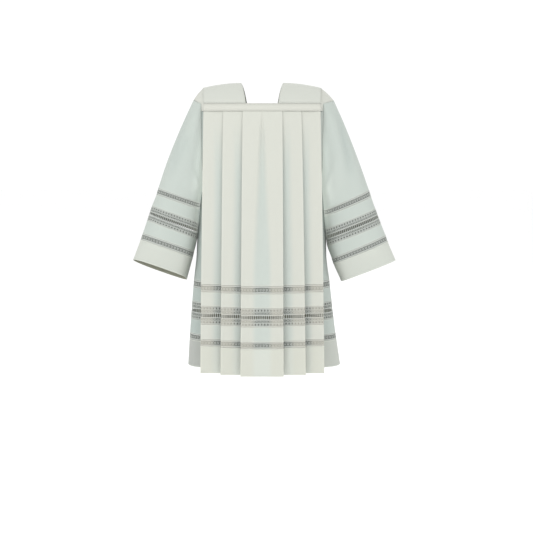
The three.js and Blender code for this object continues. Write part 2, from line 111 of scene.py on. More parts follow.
@dataclass(frozen=True)
class Yoke:
    """The square yoke: its neck, its shoulder ridge and its bands."""

    neck_at_ridge: float = 77
    neck_at_band: float = 56
    ridge_at_neck: float = 18
    ridge_fall: float = 18
    ridge_power: float = 1.8
    outer_at_ridge: float = 211
    outer_at_band: float = 205
    band_half: float = 206
    band_top: float = -55
    band_bottom: float = -81.6
    band_lean: float = 7
    slope_power: float = 1.9
    front_depth: float = 116.5
    back_depth: float = 112.5
    round: float = 36
    seam: float = 0.8
    stitch_lines: tuple[float, float] = (-61, -74)

    def depth(self, x: np.ndarray, face: Face) -> np.ndarray:
        """The depth of the yoke from the mid plane."""
        deepest = self.front_depth if face is Face.FRONT else self.back_depth
        return deepest - self.round * (x / ROUND_HALF) ** 2

    def height(self, x: np.ndarray, share: np.ndarray) -> np.ndarray:
        """The height of a shoulder piece, from its ridge at share 0 to the bands at 1 and -1.

        Args:
            x: Distances from the centre line.
            share: Places between the ridge and the bands.

        Returns:
            The heights.
        """
        reach = np.clip((x - self.neck_at_ridge) / (self.outer_at_ridge - self.neck_at_ridge), 0, 1)
        ridge = self.ridge_at_neck - self.ridge_fall * reach**self.ridge_power
        return ridge - (ridge - self.band_top - self.seam) * np.abs(share) ** self.slope_power

    def lean(self, z: np.ndarray) -> np.ndarray:
        """How far a band leans back at a height."""
        return self.band_lean * (z - self.band_bottom) / (self.band_top - self.band_bottom)


@dataclass(frozen=True)
class Section:
    """A level section of the body, as half widths and depths from the middle."""

    z: float
    front: float
    back: float
    round: float
    layer: float
    outer: float
    trough: float
    trough_half: float
    right: float
    left: float
    armhole: float
    corner: float


@dataclass(frozen=True)
class Fold:
    """A pressed fold edge, by its distance from the centre line."""

    at_yoke: float
    at_hem: float


@dataclass(frozen=True)
class Band:
    """A piece of a panel or sleeve between two levels, measured down the cloth."""

    name: str
    top: float
    bottom: float
    slot: Slot
    ladder: bool = False


@dataclass(frozen=True)
class Ring:
    """A ring of a sleeve: its top and under line, its half depth, its lean and its drop."""

    name: str
    top_x: float
    top_z: float
    under_x: float
    under_z: float
    depth: float
    lean: float
    drop: float

    def half(self, around: np.ndarray, face: Face) -> np.ndarray:
        """Points of half the ring.

        Args:
            around: Places round the half ring, from 0 at its top line to 8 at its under line.
            face: Which half.

        Returns:
            The points, for the left side.
        """
        angle = around * math.pi / HALF_RING
        inner = eased((around - INNER_FROM) / INNER_OVER)
        power = 2 / mix(RING_SQUARENESS, INNER_SQUARENESS, inner)
        along = (1 + np.sign(np.cos(angle)) * np.abs(np.cos(angle)) ** power) / 2
        out = np.abs(np.sin(angle)) ** power
        return np.stack([
            mix(self.under_x, self.top_x, along),
            self.lean + face.sign * out * self.depth,
            mix(self.under_z, self.top_z, along) - out * face.sign * self.drop / 2,
        ], axis=1)


@dataclass(frozen=True)
class Crease:
    """A soft trough or ridge: a line from one place to another, its width, height and bow."""

    across: float
    down: float
    to_across: float
    to_down: float
    width: float
    height: float
    bow: float = 0


YOKE = Yoke()
ROUND_HALF = 210
PANEL_TOP = -82.1
HEM = -1005
PLEAT_LAP = 45
PLEAT_EDGE = 2.4
PLEAT_EDGE_SHARE = 0.9
PLEAT_CLEAR = 2
PLEAT_SPREAD_POWER = 0.8
FOLD_SLACK = 0.5
# How much painted shade falls on each side's loose cloth.
PAINTED_SIDE_SHADE = {Side.RIGHT: 1.0, Side.LEFT: 0.55}
TROUGH_CORNERS = 2
SIDE_SETBACK = 1.75
SIDE_ANGLES = (0.45, 0.85, 1.2)
SEAM_GAP = 0.3

FOLDS = {
    Side.RIGHT: (Fold(67, 76), Fold(135, 147), Fold(204, 220)),
    Side.LEFT: (Fold(70, 75), Fold(136, 154), Fold(203, 221)),
}

SECTIONS = (
    Section(PANEL_TOP, 116, 112, 30, 1.5, 3.0, 1.0, 3, 213, 213, 63, 1),
    Section(-190, 127, 119, 24, 4.0, 9, 8, 13, 213, 213, 61, 1),
    Section(-275, 134, 123, 20, 4.8, 14, 8, 18, 213, 213, 46, 1),
    Section(-330, 138, 124, 18, 5.3, 17, 7.5, 21, 213, 213, 0, 1.4),
    Section(-368, 140.5, 126, 16.7, 5.7, 18.9, 7.2, 22, 216.9, 216.0, 0, 1.6),
    Section(-404, 143.5, 128.5, 15.6, 6.0, 20.6, 7.0, 23, 223.4, 219.2, 0, 1.8),
    Section(-430, 145.5, 130.5, 14.7, 6.2, 22, 6.7, 24, 226.2, 221.7, 0, 1.9),
    Section(-479, 149.5, 134, 13.2, 6.7, 24.5, 6.3, 26, 229.6, 226.0, 0, 2.1),
    Section(-540, 155, 138.5, 11.3, 7.3, 27.7, 5.7, 28, 236.0, 231.5, 0, 2.2),
    Section(-600, 160, 143, 10, 8, 31, 5, 29, 239, 232.8, 0, 2.2),
    Section(-686, 168, 150, 8, 8.8, 35, 4.5, 30, 249, 244, 0, 2.2),
    Section(-850, 180, 161, 6, 10, 40, 2.5, 30, 263.5, 264, 0, 2.2),
    Section(HEM, 190, 172, 4, 11, 44, 0.5, 30, 274, 287, 0, 2.2),
)

BODY_BANDS = (
    Band("body", -PANEL_TOP, 686, Slot.CLOTH),
    Band("lace_upper", 686, 714, Slot.LACE),
    Band("strip_upper", 714, 763.5, Slot.CLOTH),
    Band("lace_ladder", 763.5, 830, Slot.LACE, ladder=True),
    Band("strip_lower", 830, 882.5, Slot.CLOTH),
    Band("lace_lower", 882.5, 907, Slot.LACE),
    Band("hem", 907, -HEM, Slot.HEM),
)

# The pleats' soft waves: where each starts and ends, as distances to the wearer's left and down
BODY_CREASES = {
    Face.FRONT: (
        Crease(-28, 210, -40, 640, 13, 1.3, 5),
        Crease(44, 180, 38, 560, 12, 1.1, -4),
        Crease(-112, 230, -100, 820, 14, 1.6, 3),
        Crease(-174, 150, -182, 560, 12, -1.3, 4),
        Crease(104, 260, 116, 720, 14, 1.5, -5),
        Crease(178, 200, 172, 610, 12, 1.2, 3),
        Crease(-58, 640, -50, 990, 13, -1.2, 2),
        Crease(54, 700, 60, 1000, 13, -1.3, 2),
        Crease(188, 640, 196, 980, 13, -1.2, 2),
        Crease(-196, 700, -190, 1000, 12, 1.2, 0),
    ),
    Face.BACK: (
        Crease(30, 190, 38, 600, 13, 1.4, -5),
        Crease(-46, 240, -40, 700, 12, 1.2, 4),
        Crease(108, 210, 98, 760, 14, 1.5, -3),
        Crease(-104, 160, -112, 600, 13, -1.4, 4),
        Crease(176, 250, 182, 690, 12, 1.3, 2),
        Crease(-180, 300, -172, 820, 13, 1.3, -3),
        Crease(52, 720, 60, 1000, 13, -1.2, 0),
    ),
}

ARMHOLE_X = 213.9
SLEEVE_RINGS = {
    Side.RIGHT: (
        Ring("shoulder", 264, -84, 216, -345, 71, 0, 0),
        Ring("upper arm", 306, -176, 218.5, -368, 73, -2, 3),
        Ring("elbow", 341, -262, 222, -388, 72, -4, 7),
        Ring("upper lace", 373, -355, 226, -407, 69, -7, 12),
        Ring("upper strip", 380, -378, 228, -430, 68, -8, 14),
        Ring("ladder", 397, -420, 231, -479, 66, -9, 17),
        Ring("lower strip", 415, -472, 238, -540, 63, -10, 21),
        Ring("lower lace", 432, -520, 249, -585, 60, -11, 25),
        Ring("cuff", 440, -543, 255, -609, 59, -12, 26),
        Ring("cuff edge", 468, -616, 276, -684, 55, -14, 35),
    ),
    Side.LEFT: (
        Ring("shoulder", 273, -84, 216, -350, 71, 0, 0),
        Ring("upper arm", 313, -176, 218, -378, 73, -2, 0),
        Ring("elbow", 347, -262, 220.5, -404, 72, -4, 2),
        Ring("upper lace", 383, -361, 223, -431, 69, -7, 4),
        Ring("upper strip", 391, -385, 225, -454, 68, -8, 5),
        Ring("ladder", 407, -428, 229, -499, 66, -9, 6),
        Ring("lower strip", 428, -483, 236, -561, 63, -10, 8),
        Ring("lower lace", 445, -524, 252, -606, 60, -11, 9),
        Ring("cuff", 453, -547, 259, -627, 59, -12, 10),
        Ring("cuff edge", 483, -616, 288, -692, 55, -14, 12),
    ),
}
SLEEVE_PIECES = (
    ("sleeve", "armhole", "upper lace", Slot.CLOTH),
    ("sleeve_lace_upper", "upper lace", "upper strip", Slot.LACE),
    ("sleeve_strip_upper", "upper strip", "ladder", Slot.CLOTH),
    ("sleeve_lace_ladder", "ladder", "lower strip", Slot.LACE),
    ("sleeve_strip_lower", "lower strip", "lower lace", Slot.CLOTH),
    ("sleeve_lace_lower", "lower lace", "cuff", Slot.LACE),
    ("cuff", "cuff", "cuff edge", Slot.HEM),
)
RING_SQUARENESS = 2.2
INNER_SQUARENESS = 3.4
INNER_FROM = 3.5
INNER_OVER = 2.5
HALF_RING = 8

# Across is the place round the sleeve, 0 at its top line, 8 at its under line, and down is in mm
SLEEVE_CREASES = {
    Side.RIGHT: (
        Crease(-3.2, 30, -2.2, 300, 0.75, -4.0, 0.25),
        Crease(-5.6, 60, -4.6, 330, 0.8, 3.2, -0.2),
        Crease(-1.0, 5, -1.5, 260, 0.7, -4.5, 0.1),
        Crease(3.4, 40, 2.4, 310, 0.8, -3.8, -0.2),
        Crease(5.5, 50, 5.0, 360, 0.8, 3.0, 0.1),
        Crease(-3.0, 380, -3.6, 590, 0.9, 2.2, 0),
    ),
    Side.LEFT: (
        Crease(-1.3, 5, -3.0, 280, 0.8, -7.0, 0.1),
        Crease(-4.7, 60, -4.3, 290, 0.8, 2.6, 0.2),
        Crease(-5.8, 50, -4.9, 360, 0.8, 3.2, -0.2),
        Crease(3.2, 40, 2.2, 300, 0.8, -3.8, -0.2),
        Crease(5.6, 70, 5.2, 350, 0.8, 3.0, 0.1),
        Crease(-3.6, 420, -3.0, 600, 0.9, 2.2, 0),
    ),
}


@dataclass(frozen=True)
class Cap:
    """The piece that drops from under the shoulder's edge to the sleeve."""

    reach: float
    z: float
    lap: float = 12
    edge: float = 1
    under: float = 2.4
    under_slope: float = 1.4
    behind_band: float = 2.5
    armhole_x: float = 213
    corner_z: float = -58
    corner_depth: float = 64

    def arc(self, share: np.ndarray) -> np.ndarray:
        """The outer edge, from its top at share 0 to the armhole's corners at 1 and -1.

        Args:
            share: Places along the edge.

        Returns:
            The points, for the left side.
        """
        return np.stack([
            mix(self.reach, self.armhole_x, share**2),
            share * self.corner_depth,
            mix(self.z, self.corner_z, share**2),
        ], axis=1)


CAPS = {Side.RIGHT: Cap(243, -42), Side.LEFT: Cap(254, -44)}
CHEST_EDGE = ((PANEL_TOP, 63), (-136, 62), (-190, 61), (-275, 46), (-302.5, 23), (-330, 0))

# Fineness of the meshes, in millimetres or as counts


@dataclass(frozen=True)
class Fineness:
    """How finely the cloth is divided."""

    across: float = 7
    down: float = 14
    bend_steps: int = 4
    ring_columns: int = 128
    thread_step: float = 2
    wave_steps: int = 8
    ring_sides: int = 6
    lace_rows: int = 4


FINE = Fineness()
CLOTH_THICKNESS = 0.8
DOUBLE_THICKNESS = 1.3
NET_THICKNESS = 0.4
THREAD_LIFT = 0.3


@dataclass(frozen=True)
class TurnedEdge:
    """A turned-in edge: its rise, its reach, its rows, and what it adds to the shading: the backed tone
    of its doubled cloth and a painted glow as a highlight.
    """

    rise: float = 0.5
    reach: float = 5
    rows: tuple[float, ...] = (0, 1.2, 3.5, 5.5)
    clear: float = 9
    backing: float = 1.2
    light: float = 0.1


@dataclass(frozen=True)
class Sewn:
    """How the piping and the stitches of a hem or cuff lie."""

    piping_down: float = 1.4
    piping_out: float = 0.9
    stitches_up: float = 6
    stitches_out: float = 0.75
    tilt: float = 0.06


TURNED = TurnedEdge()
SEWN = Sewn()
FIRST_BANDS = ("body", "sleeve")
TINY = 1e-9
MOST_CUT = 0.45
FADE_IN = 3.2
FADE_OUT = 2.6

# Small maths

Amount = Union[float, np.ndarray]


def mix(a: Amount, b: Amount, share: Amount) -> Amount:
    """The value at a share of the way from a to b."""
    return a + (b - a) * share


def eased(x: np.ndarray) -> np.ndarray:
    """A smooth step from 0 to 1 over the same range."""
    x = np.clip(x, 0, 1)
    return x * x * (3 - 2 * x)


def smooth_profile(knots: Sequence[float], values: np.ndarray, at: np.ndarray) -> np.ndarray:
    """Reads a smooth curve through table values that never overshoots them.

    Args:
        knots: Rising places of the table's rows.
        values: The rows, one for each knot.
        at: The places to read.

    Returns:
        One row for each place read.
    """
    knots = np.asarray(knots, float)
    values = np.asarray(values, float).reshape(len(knots), -1)
    steps = np.diff(knots)[:, None]
    slopes = np.diff(values, axis=0) / steps
    tangents = np.zeros_like(values)
    steepness = slopes[:-1] * slopes[1:]
    together = slopes[:-1] + slopes[1:]
    tangents[1:-1] = np.where(
        steepness > 0, 2 * slopes[:-1] * slopes[1:] / np.where(together == 0, 1, together), 0,
    )
    tangents[0], tangents[-1] = slopes[0], slopes[-1]
    at = np.clip(np.asarray(at, float), knots[0], knots[-1])
    i = np.clip(np.searchsorted(knots, at, side="right") - 1, 0, len(knots) - 2)
    t = ((at - knots[i]) / np.diff(knots)[i])[:, None]
    h = steps[i]
    return (
        (2 * t**3 - 3 * t**2 + 1) * values[i]
        + (t**3 - 2 * t**2 + t) * h * tangents[i]
        + (-2 * t**3 + 3 * t**2) * values[i + 1]
        + (t**3 - t**2) * h * tangents[i + 1]
    )


def measured(points: np.ndarray) -> np.ndarray:
    """How far along a line each of its points lies."""
    steps = np.linalg.norm(np.diff(points, axis=0), axis=1)
    return np.concatenate([[0], np.cumsum(steps)])


def rounded(points: np.ndarray, counts: Sequence[int], radius: Sequence[float]) -> np.ndarray:
    """Rounds the corners of a line and divides its runs.

    Args:
        points: The line's corners.
        counts: How many steps divide each run.
        radius: How far each corner is cut back, at most.

    Returns:
        The points of the finer line, always as many for the same counts.
    """
    lengths = np.linalg.norm(np.diff(points, axis=0), axis=1)
    cuts = np.zeros(len(points))
    for i in range(1, len(points) - 1):
        cuts[i] = min(radius[i], MOST_CUT * lengths[i - 1], MOST_CUT * lengths[i])
    made = []
    for i, count in enumerate(counts):
        run = (points[i + 1] - points[i]) / max(lengths[i], TINY)
        start = points[i] + run * cuts[i]
        end = points[i + 1] - run * cuts[i + 1]
        for step in range(count):
            made.append(mix(start, end, step / count))
        if i + 1 < len(points) - 1:
            after = (points[i + 2] - points[i + 1]) / max(lengths[i + 1], TINY)
            leave = points[i + 1] + after * cuts[i + 1]
            for step in range(FINE.bend_steps):
                t = step / FINE.bend_steps
                made.append((1 - t) ** 2 * end + 2 * t * (1 - t) * points[i + 1] + t**2 * leave)
        else:
            made.append(end)
    return np.array(made)


def crease_height(creases: Iterable[Crease], across: np.ndarray, down: np.ndarray) -> np.ndarray:
    """Adds up the soft creases at each place.

    Args:
        creases: The creases of this piece.
        across: Places across the cloth, in the creases' units.
        down: Places down the cloth, in millimetres.

    Returns:
        How far the cloth is raised at each place, in millimetres.
    """
    height = np.zeros(np.broadcast(across, down).shape)
    for c in creases:
        along = (down - c.down) / (c.to_down - c.down)
        middle = mix(c.across, c.to_across, along) + c.bow * np.sin(math.pi * np.clip(along, 0, 1))
        fade = eased(along * FADE_IN) * eased((1 - along) * FADE_OUT)
        height += c.height * fade * np.exp(-(((across - middle) / c.width) ** 2))
    return height


# Surfaces and the pieces that lie on them

UV_NAME = "cloth"
BACKING_NAME = "backing"
# The light attribute is a painted glow, given out as emission.
PAINTED_GLOW_NAME = "light"
WELD = 2e-5
WIDTH_TAKEN_AT = 0.8


@dataclass
class Shading:
    """What the finishes read at each point: its backing, a tone by layers that is partly a painted
    shade, and a painted glow.
    """

    backing: np.ndarray
    light: np.ndarray

    def write(self, mesh: bpy.types.Mesh) -> None:
        """Keeps the values as attributes of a mesh."""
        for name, values in ((BACKING_NAME, self.backing), (PAINTED_GLOW_NAME, self.light)):
            mesh.attributes.new(name, "FLOAT", "POINT").data.foreach_set("value", values)


class Surface:
    """A smooth sheet given by a grid of points, which pieces and threads are laid on.

    Rows run down the cloth and columns run anticlockwise as seen from above, so that the side
    of the sheet that faces outwards is the one its normals point from.
    """

    def __init__(self, points: np.ndarray, downs: np.ndarray, closed: bool = False,
                 backing: Optional[np.ndarray] = None, light: Optional[np.ndarray] = None) -> None:
        """Keeps the grid and works out its normals and its flat width.

        Args:
            points: Rows by columns by 3, in millimetres.
            downs: The place of each row down the cloth, in millimetres.
            closed: Whether the last column meets the first.
            backing: How far each point lies on another layer, from 1 over layers to -1; the tone it
                gives is partly a painted shade, and wholly one below 0.
            light: How much painted glow each point has.
        """
        self.points = points
        self.downs = downs
        self.closed = closed
        self.backing = np.zeros(points.shape[:2]) if backing is None else backing
        self.light = np.zeros(points.shape[:2]) if light is None else light
        self.across = measured(points[int(WIDTH_TAKEN_AT * (len(points) - 1))])
        self.width = float(self.across[-1])
        self.normals = self._normals()
        self.sway: Optional[Callable[[np.ndarray, np.ndarray], np.ndarray]] = None

    def _normals(self) -> np.ndarray:
        """The outward direction at each point of the grid.

        Returns:
            The directions, of length 1.
        """
        down = np.gradient(self.points, axis=0)
        if self.closed:
            ring = self.points[:, :-1]
            wide = (np.roll(ring, -1, axis=1) - np.roll(ring, 1, axis=1)) / 2
            wide = np.concatenate([wide, wide[:, :1]], axis=1)
        else:
            wide = np.gradient(self.points, axis=1)
        normals = np.cross(down, wide)
        return normals / np.maximum(np.linalg.norm(normals, axis=2, keepdims=True), TINY)

    def _read(self, grid: np.ndarray, row: np.ndarray, column: np.ndarray) -> np.ndarray:
        """Reads a grid between its points.

        Args:
            grid: Rows by columns by values.
            row: The rows to read, between the grid's own.
            column: The columns.

        Returns:
            One row of values for each place read.
        """
        r = np.clip(row.astype(int), 0, grid.shape[0] - 2)
        c = np.clip(column.astype(int), 0, grid.shape[1] - 2)
        fr = (row - r)[:, None]
        fc = (column - c)[:, None]
        upper = grid[r, c] * (1 - fc) + grid[r, c + 1] * fc
        lower = grid[r + 1, c] * (1 - fc) + grid[r + 1, c + 1] * fc
        return upper * (1 - fr) + lower * fr

    def _spot(self, across: np.ndarray, down: np.ndarray) -> tuple[np.ndarray, np.ndarray]:
        """The rows and the columns of places on the cloth, between those of the grid."""
        row = np.interp(down, self.downs, np.arange(len(self.downs)))
        return row, np.interp(across, self.across, np.arange(len(self.across)))

    def shading_at(self, across: np.ndarray, down: np.ndarray) -> Shading:
        """The backing and the painted glow at places across and down the cloth.

        Args:
            across: Distances across the flat cloth, in millimetres.
            down: Distances down the cloth.

        Returns:
            The shading at each place.
        """
        spot = self._spot(across, down)
        grids = (self.backing, self.light)
        return Shading(*(self._read(grid[:, :, None], *spot).ravel() for grid in grids))

    def place(self, across: np.ndarray, down: np.ndarray, out: np.ndarray) -> np.ndarray:
        """Finds points on the surface.

        Args:
            across: Distances across the flat cloth, in millimetres.
            down: Distances down the cloth, in millimetres.
            out: How far each point stands off the surface, in millimetres.

        Returns:
            The points, in millimetres.
        """
        if self.sway:
            down = down + self.sway(across, down)
        spot = self._spot(across, down)
        normal = self._read(self.normals, *spot)
        normal /= np.maximum(np.linalg.norm(normal, axis=1, keepdims=True), TINY)
        return self._read(self.points, *spot) + normal * out[:, None]

    def area(self, top: float, bottom: float) -> float:
        """The area of the cloth between two places down it, in square millimetres.

        Args:
            top: Where the stretch starts, in millimetres.
            bottom: Where it ends.

        Returns:
            The area.
        """
        rows = (self.downs >= top - WELD) & (self.downs <= bottom + WELD)
        grid = self.points[rows]
        one = grid[1:, 1:] - grid[:-1, :-1]
        two = grid[1:, :-1] - grid[:-1, 1:]
        return float(np.linalg.norm(np.cross(one, two), axis=2).sum() / 2)

    def cloth(self, name: str, top: float, bottom: float, turned: tuple[float, float] = (0, 0),
              relief: Optional[Callable[[np.ndarray, np.ndarray], np.ndarray]] = None,
              gap: Optional[tuple[float, float]] = None) -> bpy.types.Object:
        """Makes a piece of cloth from part of the surface.

        Args:
            name: The piece's name.
            top: Where it starts down the cloth, in millimetres.
            bottom: Where it ends.
            turned: How far the cloth is raised where its top and bottom edges are turned in.
            relief: A function of the places across and down that raises the cloth.
            gap: A stretch down the cloth that is left open, all the way across.

        Returns:
            The piece, a grid of faces with its flat places as a UV map, in metres.
        """
        rows = max(2, round((bottom - top) / FINE.down) + 1)
        down = np.linspace(top, bottom, rows)
        if max(turned) > 0:
            edges = np.array(TURNED.rows)
            inner = np.linspace(top + TURNED.clear, bottom - TURNED.clear, rows)
            down = np.unique(np.concatenate([top + edges, inner, bottom - edges]))
        elif gap:
            parts = ((top, gap[0]), (gap[1], bottom))
            down = np.concatenate([np.linspace(*part, FINE.lace_rows) for part in parts])
        rows = len(down)
        columns = len(self.across)
        across = np.tile(self.across, rows)
        downs = np.repeat(down, columns)
        upper = turned[0] * (1 - eased((downs - top) / TURNED.reach))
        turned_in = upper + turned[1] * (1 - eased((bottom - downs) / TURNED.reach))
        out = turned_in + relief(across, downs) if relief else turned_in
        points = self.place(across, downs, out)
        shading = self.shading_at(across, downs)
        # A turned-in edge gets the backed tone of its doubled cloth and a painted glow, a painted
        # highlight along it.
        shading.backing += TURNED.backing * turned_in
        shading.light += TURNED.light * turned_in
        kept = [i for i in range(rows - 1) if not gap or down[i] != gap[0]]
        r, c = np.meshgrid(kept, np.arange(columns - 1), indexing="ij")
        first = (r * columns + c).ravel()
        quads = np.stack([first, first + columns, first + columns + 1, first + 1], axis=1)
        piece = mesh_piece(name, points * MM, quads)
        flat = np.stack([across, -downs], axis=1) * MM
        loops = np.empty(len(piece.data.loops), int)
        piece.data.loops.foreach_get("vertex_index", loops)
        piece.data.uv_layers.new(name=UV_NAME).data.foreach_set("uv", flat[loops].ravel())
        shading.write(piece.data)
        if self.closed:
            welded(piece)
        return piece


def mesh_piece(name: str, points: np.ndarray,
               faces: Union[np.ndarray, list[tuple[int, ...]]]) -> bpy.types.Object:
    """Makes a smooth-shaded object from points in metres and faces.

    Args:
        name: The object's name.
        points: One row for each point.
        faces: The points of each face.

    Returns:
        The object.
    """
    mesh = bpy.data.meshes.new(name)
    mesh.from_pydata(points.tolist(), [], faces if isinstance(faces, list) else faces.tolist())
    mesh.polygons.foreach_set("use_smooth", [True] * len(mesh.polygons))
    piece = bpy.data.objects.new(name, mesh)
    bpy.context.scene.collection.objects.link(piece)
    return piece


def welded(piece: bpy.types.Object, outwards: bool = False) -> bpy.types.Object:
    """Merges the points of a piece that meet, and if asked turns its faces outwards.

    Args:
        piece: The piece.
        outwards: Whether its faces are turned.

    Returns:
        The piece.
    """
    made = bmesh.new()
    made.from_mesh(piece.data)
    bmesh.ops.remove_doubles(made, verts=made.verts, dist=WELD)
    if outwards:
        bmesh.ops.recalc_face_normals(made, faces=made.faces)
    made.to_mesh(piece.data)
    made.free()
    return piece


# Threads, made flat with X across, Z up and the outside towards -Y, in millimetres

LACE_REPEAT = 11
PIPING_REPEAT = 12
STITCH_REPEAT = 3.0
NARROW_HEIGHT = 24
LADDER_TALL = 11.5
LADDER_PITCH = 7.5
TAPE_HEIGHT = 0.7
CORD_HEIGHT = 0.8
RING_HEIGHT = 0.9
CROSSING = 0.2
PETAL_ROOT = 0.5
PETAL_TIP = 0.3
PETAL_BELLY = 0.55
PETAL_OUT = 0.15


class ThreadWork:
    """Collects flat cords and tapes, each a bar of four sides along a line."""

    def __init__(self) -> None:
        """Starts with no cords."""
        self.points: list[tuple[float, float, float]] = []
        self.faces: list[tuple[int, ...]] = []

    def cord(self, line: Sequence[tuple[float, float]], width: Union[float, Sequence[float]],
             height: float, out: float = 0, ends: End = End.CAPPED) -> None:
        """Adds a cord along a line.

        Args:
            line: The places of its middle, across and up.
            width: Its width, or one width for each place.
            height: How thick it is.
            out: How far its middle stands out.
            ends: What its ends do.
        """
        line = np.asarray(line, float)
        widths = np.broadcast_to(np.asarray(width, float), (len(line),))
        run = np.gradient(line, axis=0)
        if ends is End.MEETING:
            run[0] = run[-1] = (1, 0)
        if ends is End.CLOSED:
            run[0] = run[-1] = line[1] - line[-2]
        run /= np.maximum(np.linalg.norm(run, axis=1, keepdims=True), TINY)
        first = len(self.points)
        for (x, z), (dx, dz), w in zip(line, run, widths):
            half, rise = w / 2, height / 2
            self.points += [
                (x - dz * half, -out, z + dx * half),
                (x, -out - rise, z),
                (x + dz * half, -out, z - dx * half),
                (x, -out + rise, z),
            ]
        for i in range(len(line) - 1):
            a, b = first + 4 * i, first + 4 * (i + 1)
            for k in range(4):
                n = (k + 1) % 4
                self.faces.append((a + k, a + n, b + n, b + k))
        if ends is End.CAPPED:
            last = first + 4 * (len(line) - 1)
            self.faces.append((first + 3, first + 2, first + 1, first))
            self.faces.append((last, last + 1, last + 2, last + 3))

    def tape(self, width: float, z: float, length: float = LACE_REPEAT,
             height: float = TAPE_HEIGHT) -> None:
        """Adds a straight tape from one end of the repeat to the other.

        Args:
            width: Its width.
            z: The height of its middle.
            length: How long the repeat is.
            height: How thick it is.
        """
        steps = round(length / FINE.thread_step)
        line = [(length * i / steps, z) for i in range(steps + 1)]
        self.cord(line, width, height, ends=End.MEETING)

    def crossing_waves(self, z: float, rise: float) -> None:
        """Adds two cords that swing once up and down over the repeat and cross.

        Args:
            z: The height that they swing about.
            rise: How far they swing.
        """
        turns = [i / FINE.wave_steps for i in range(FINE.wave_steps + 1)]
        for sign in (-1, 1):
            line = [(LACE_REPEAT * t, z + sign * rise * math.cos(2 * math.pi * t)) for t in turns]
            self.cord(line, 1.0, CORD_HEIGHT, sign * CROSSING, End.MEETING)

    def petal(self, x: float, z: float, angle: float, start: float, end: float, width: float) -> None:
        """Adds a leaf or petal that points away from a centre.

        Args:
            x: The centre, across.
            z: The centre, up.
            angle: Its direction.
            start: How far from the centre it starts.
            end: How far from the centre it ends.
            width: Its widest.
        """
        reach = (start, mix(start, end, PETAL_BELLY), end)
        line = [(x + r * math.cos(angle), z + r * math.sin(angle)) for r in reach]
        self.cord(line, (PETAL_ROOT, width, PETAL_TIP), CORD_HEIGHT, PETAL_OUT)

    def ring(self, x: float, z: float, radius: float, width: float) -> None:
        """Adds a small closed ring.

        Args:
            x: Its centre, across.
            z: Its centre, up.
            radius: Its radius.
            width: The cord's width.
        """
        turns = [2 * math.pi * i / FINE.ring_sides for i in range(FINE.ring_sides + 1)]
        line = [(x + radius * math.cos(a), z + radius * math.sin(a)) for a in turns]
        self.cord(line, width, RING_HEIGHT, CROSSING, End.CLOSED)

    def item(self, name: str) -> bpy.types.Object:
        """Makes the cords one object, in metres, with its faces outwards."""
        return welded(mesh_piece(name, np.array(self.points) * MM, self.faces), outwards=True)


@dataclass(frozen=True)
class Motif:
    """One repeat of a flat thread pattern and how it is drawn."""

    name: str
    pitch: float
    draw: Callable[[ThreadWork], None]


def draw_flower_lace(work: ThreadWork) -> None:
    """Draws a repeat of the narrow lace: two crossing waves with a flower between them.

    Args:
        work: What collects the cords.
    """
    middle = NARROW_HEIGHT / 2
    for z in (3.0, NARROW_HEIGHT - 3.0):
        work.tape(6.0, z)
    work.crossing_waves(middle, 4.8)
    work.ring(LACE_REPEAT / 2, middle, 1.2, 0.7)
    for i in range(6):
        work.petal(LACE_REPEAT / 2, middle, math.pi * (i + 0.5) / 3, 1.5, 4.3, 1.9)


def draw_picket_lace(work: ThreadWork) -> None:
    """Draws a repeat of the lace beside the ladder: a row of small bars over a row of leaves.

    Args:
        work: What collects the cords.
    """
    for width, z in ((4.2, 2.1), (2.6, 12.2), (4.6, 21.7)):
        work.tape(width, z)
    for x in (1.7, 4.0, 6.3):
        work.cord([(x, 20.2), (x, 13.0)], 1.9, CORD_HEIGHT, 0.1)
    work.crossing_waves(7.6, 3.0)
    for angle in (0, math.pi):
        work.petal(LACE_REPEAT / 2, 7.6, angle, 0.3, 3.7, 2.4)


def draw_ladder(work: ThreadWork) -> None:
    """Draws one bar of the ladder, a bundle of drawn threads with a slight waist.

    Args:
        work: What collects the cords.
    """
    reach, waist = 1.2, 2.2
    heights = (-reach, waist, LADDER_TALL / 2, LADDER_TALL - waist, LADDER_TALL + reach)
    line = [(LADDER_PITCH / 2, z) for z in heights]
    work.cord(line, (4.4, 3.1, 2.8, 3.1, 4.4), 1.2)


def draw_stitch(work: ThreadWork) -> None:
    """Draws one short stitch that dips at both ends."""
    work.cord([(0.4, 0), (1.0, 0), (2.0, 0), (2.6, 0)], (0.3, 0.7, 0.7, 0.3), 0.5, 0.1)


def draw_piping(work: ThreadWork) -> None:
    """Draws a stretch of the narrow piping that joins a hem to the lace above it."""
    work.tape(3.2, 0, PIPING_REPEAT, 1.0)


FLOWER_LACE = Motif("flower_lace", LACE_REPEAT, draw_flower_lace)
PICKET_LACE = Motif("picket_lace", LACE_REPEAT, draw_picket_lace)
LADDER_BAR = Motif("ladder_bar", LADDER_PITCH, draw_ladder)
STITCH = Motif("stitch", STITCH_REPEAT, draw_stitch)
PIPING = Motif("piping", PIPING_REPEAT, draw_piping)

# Nodes


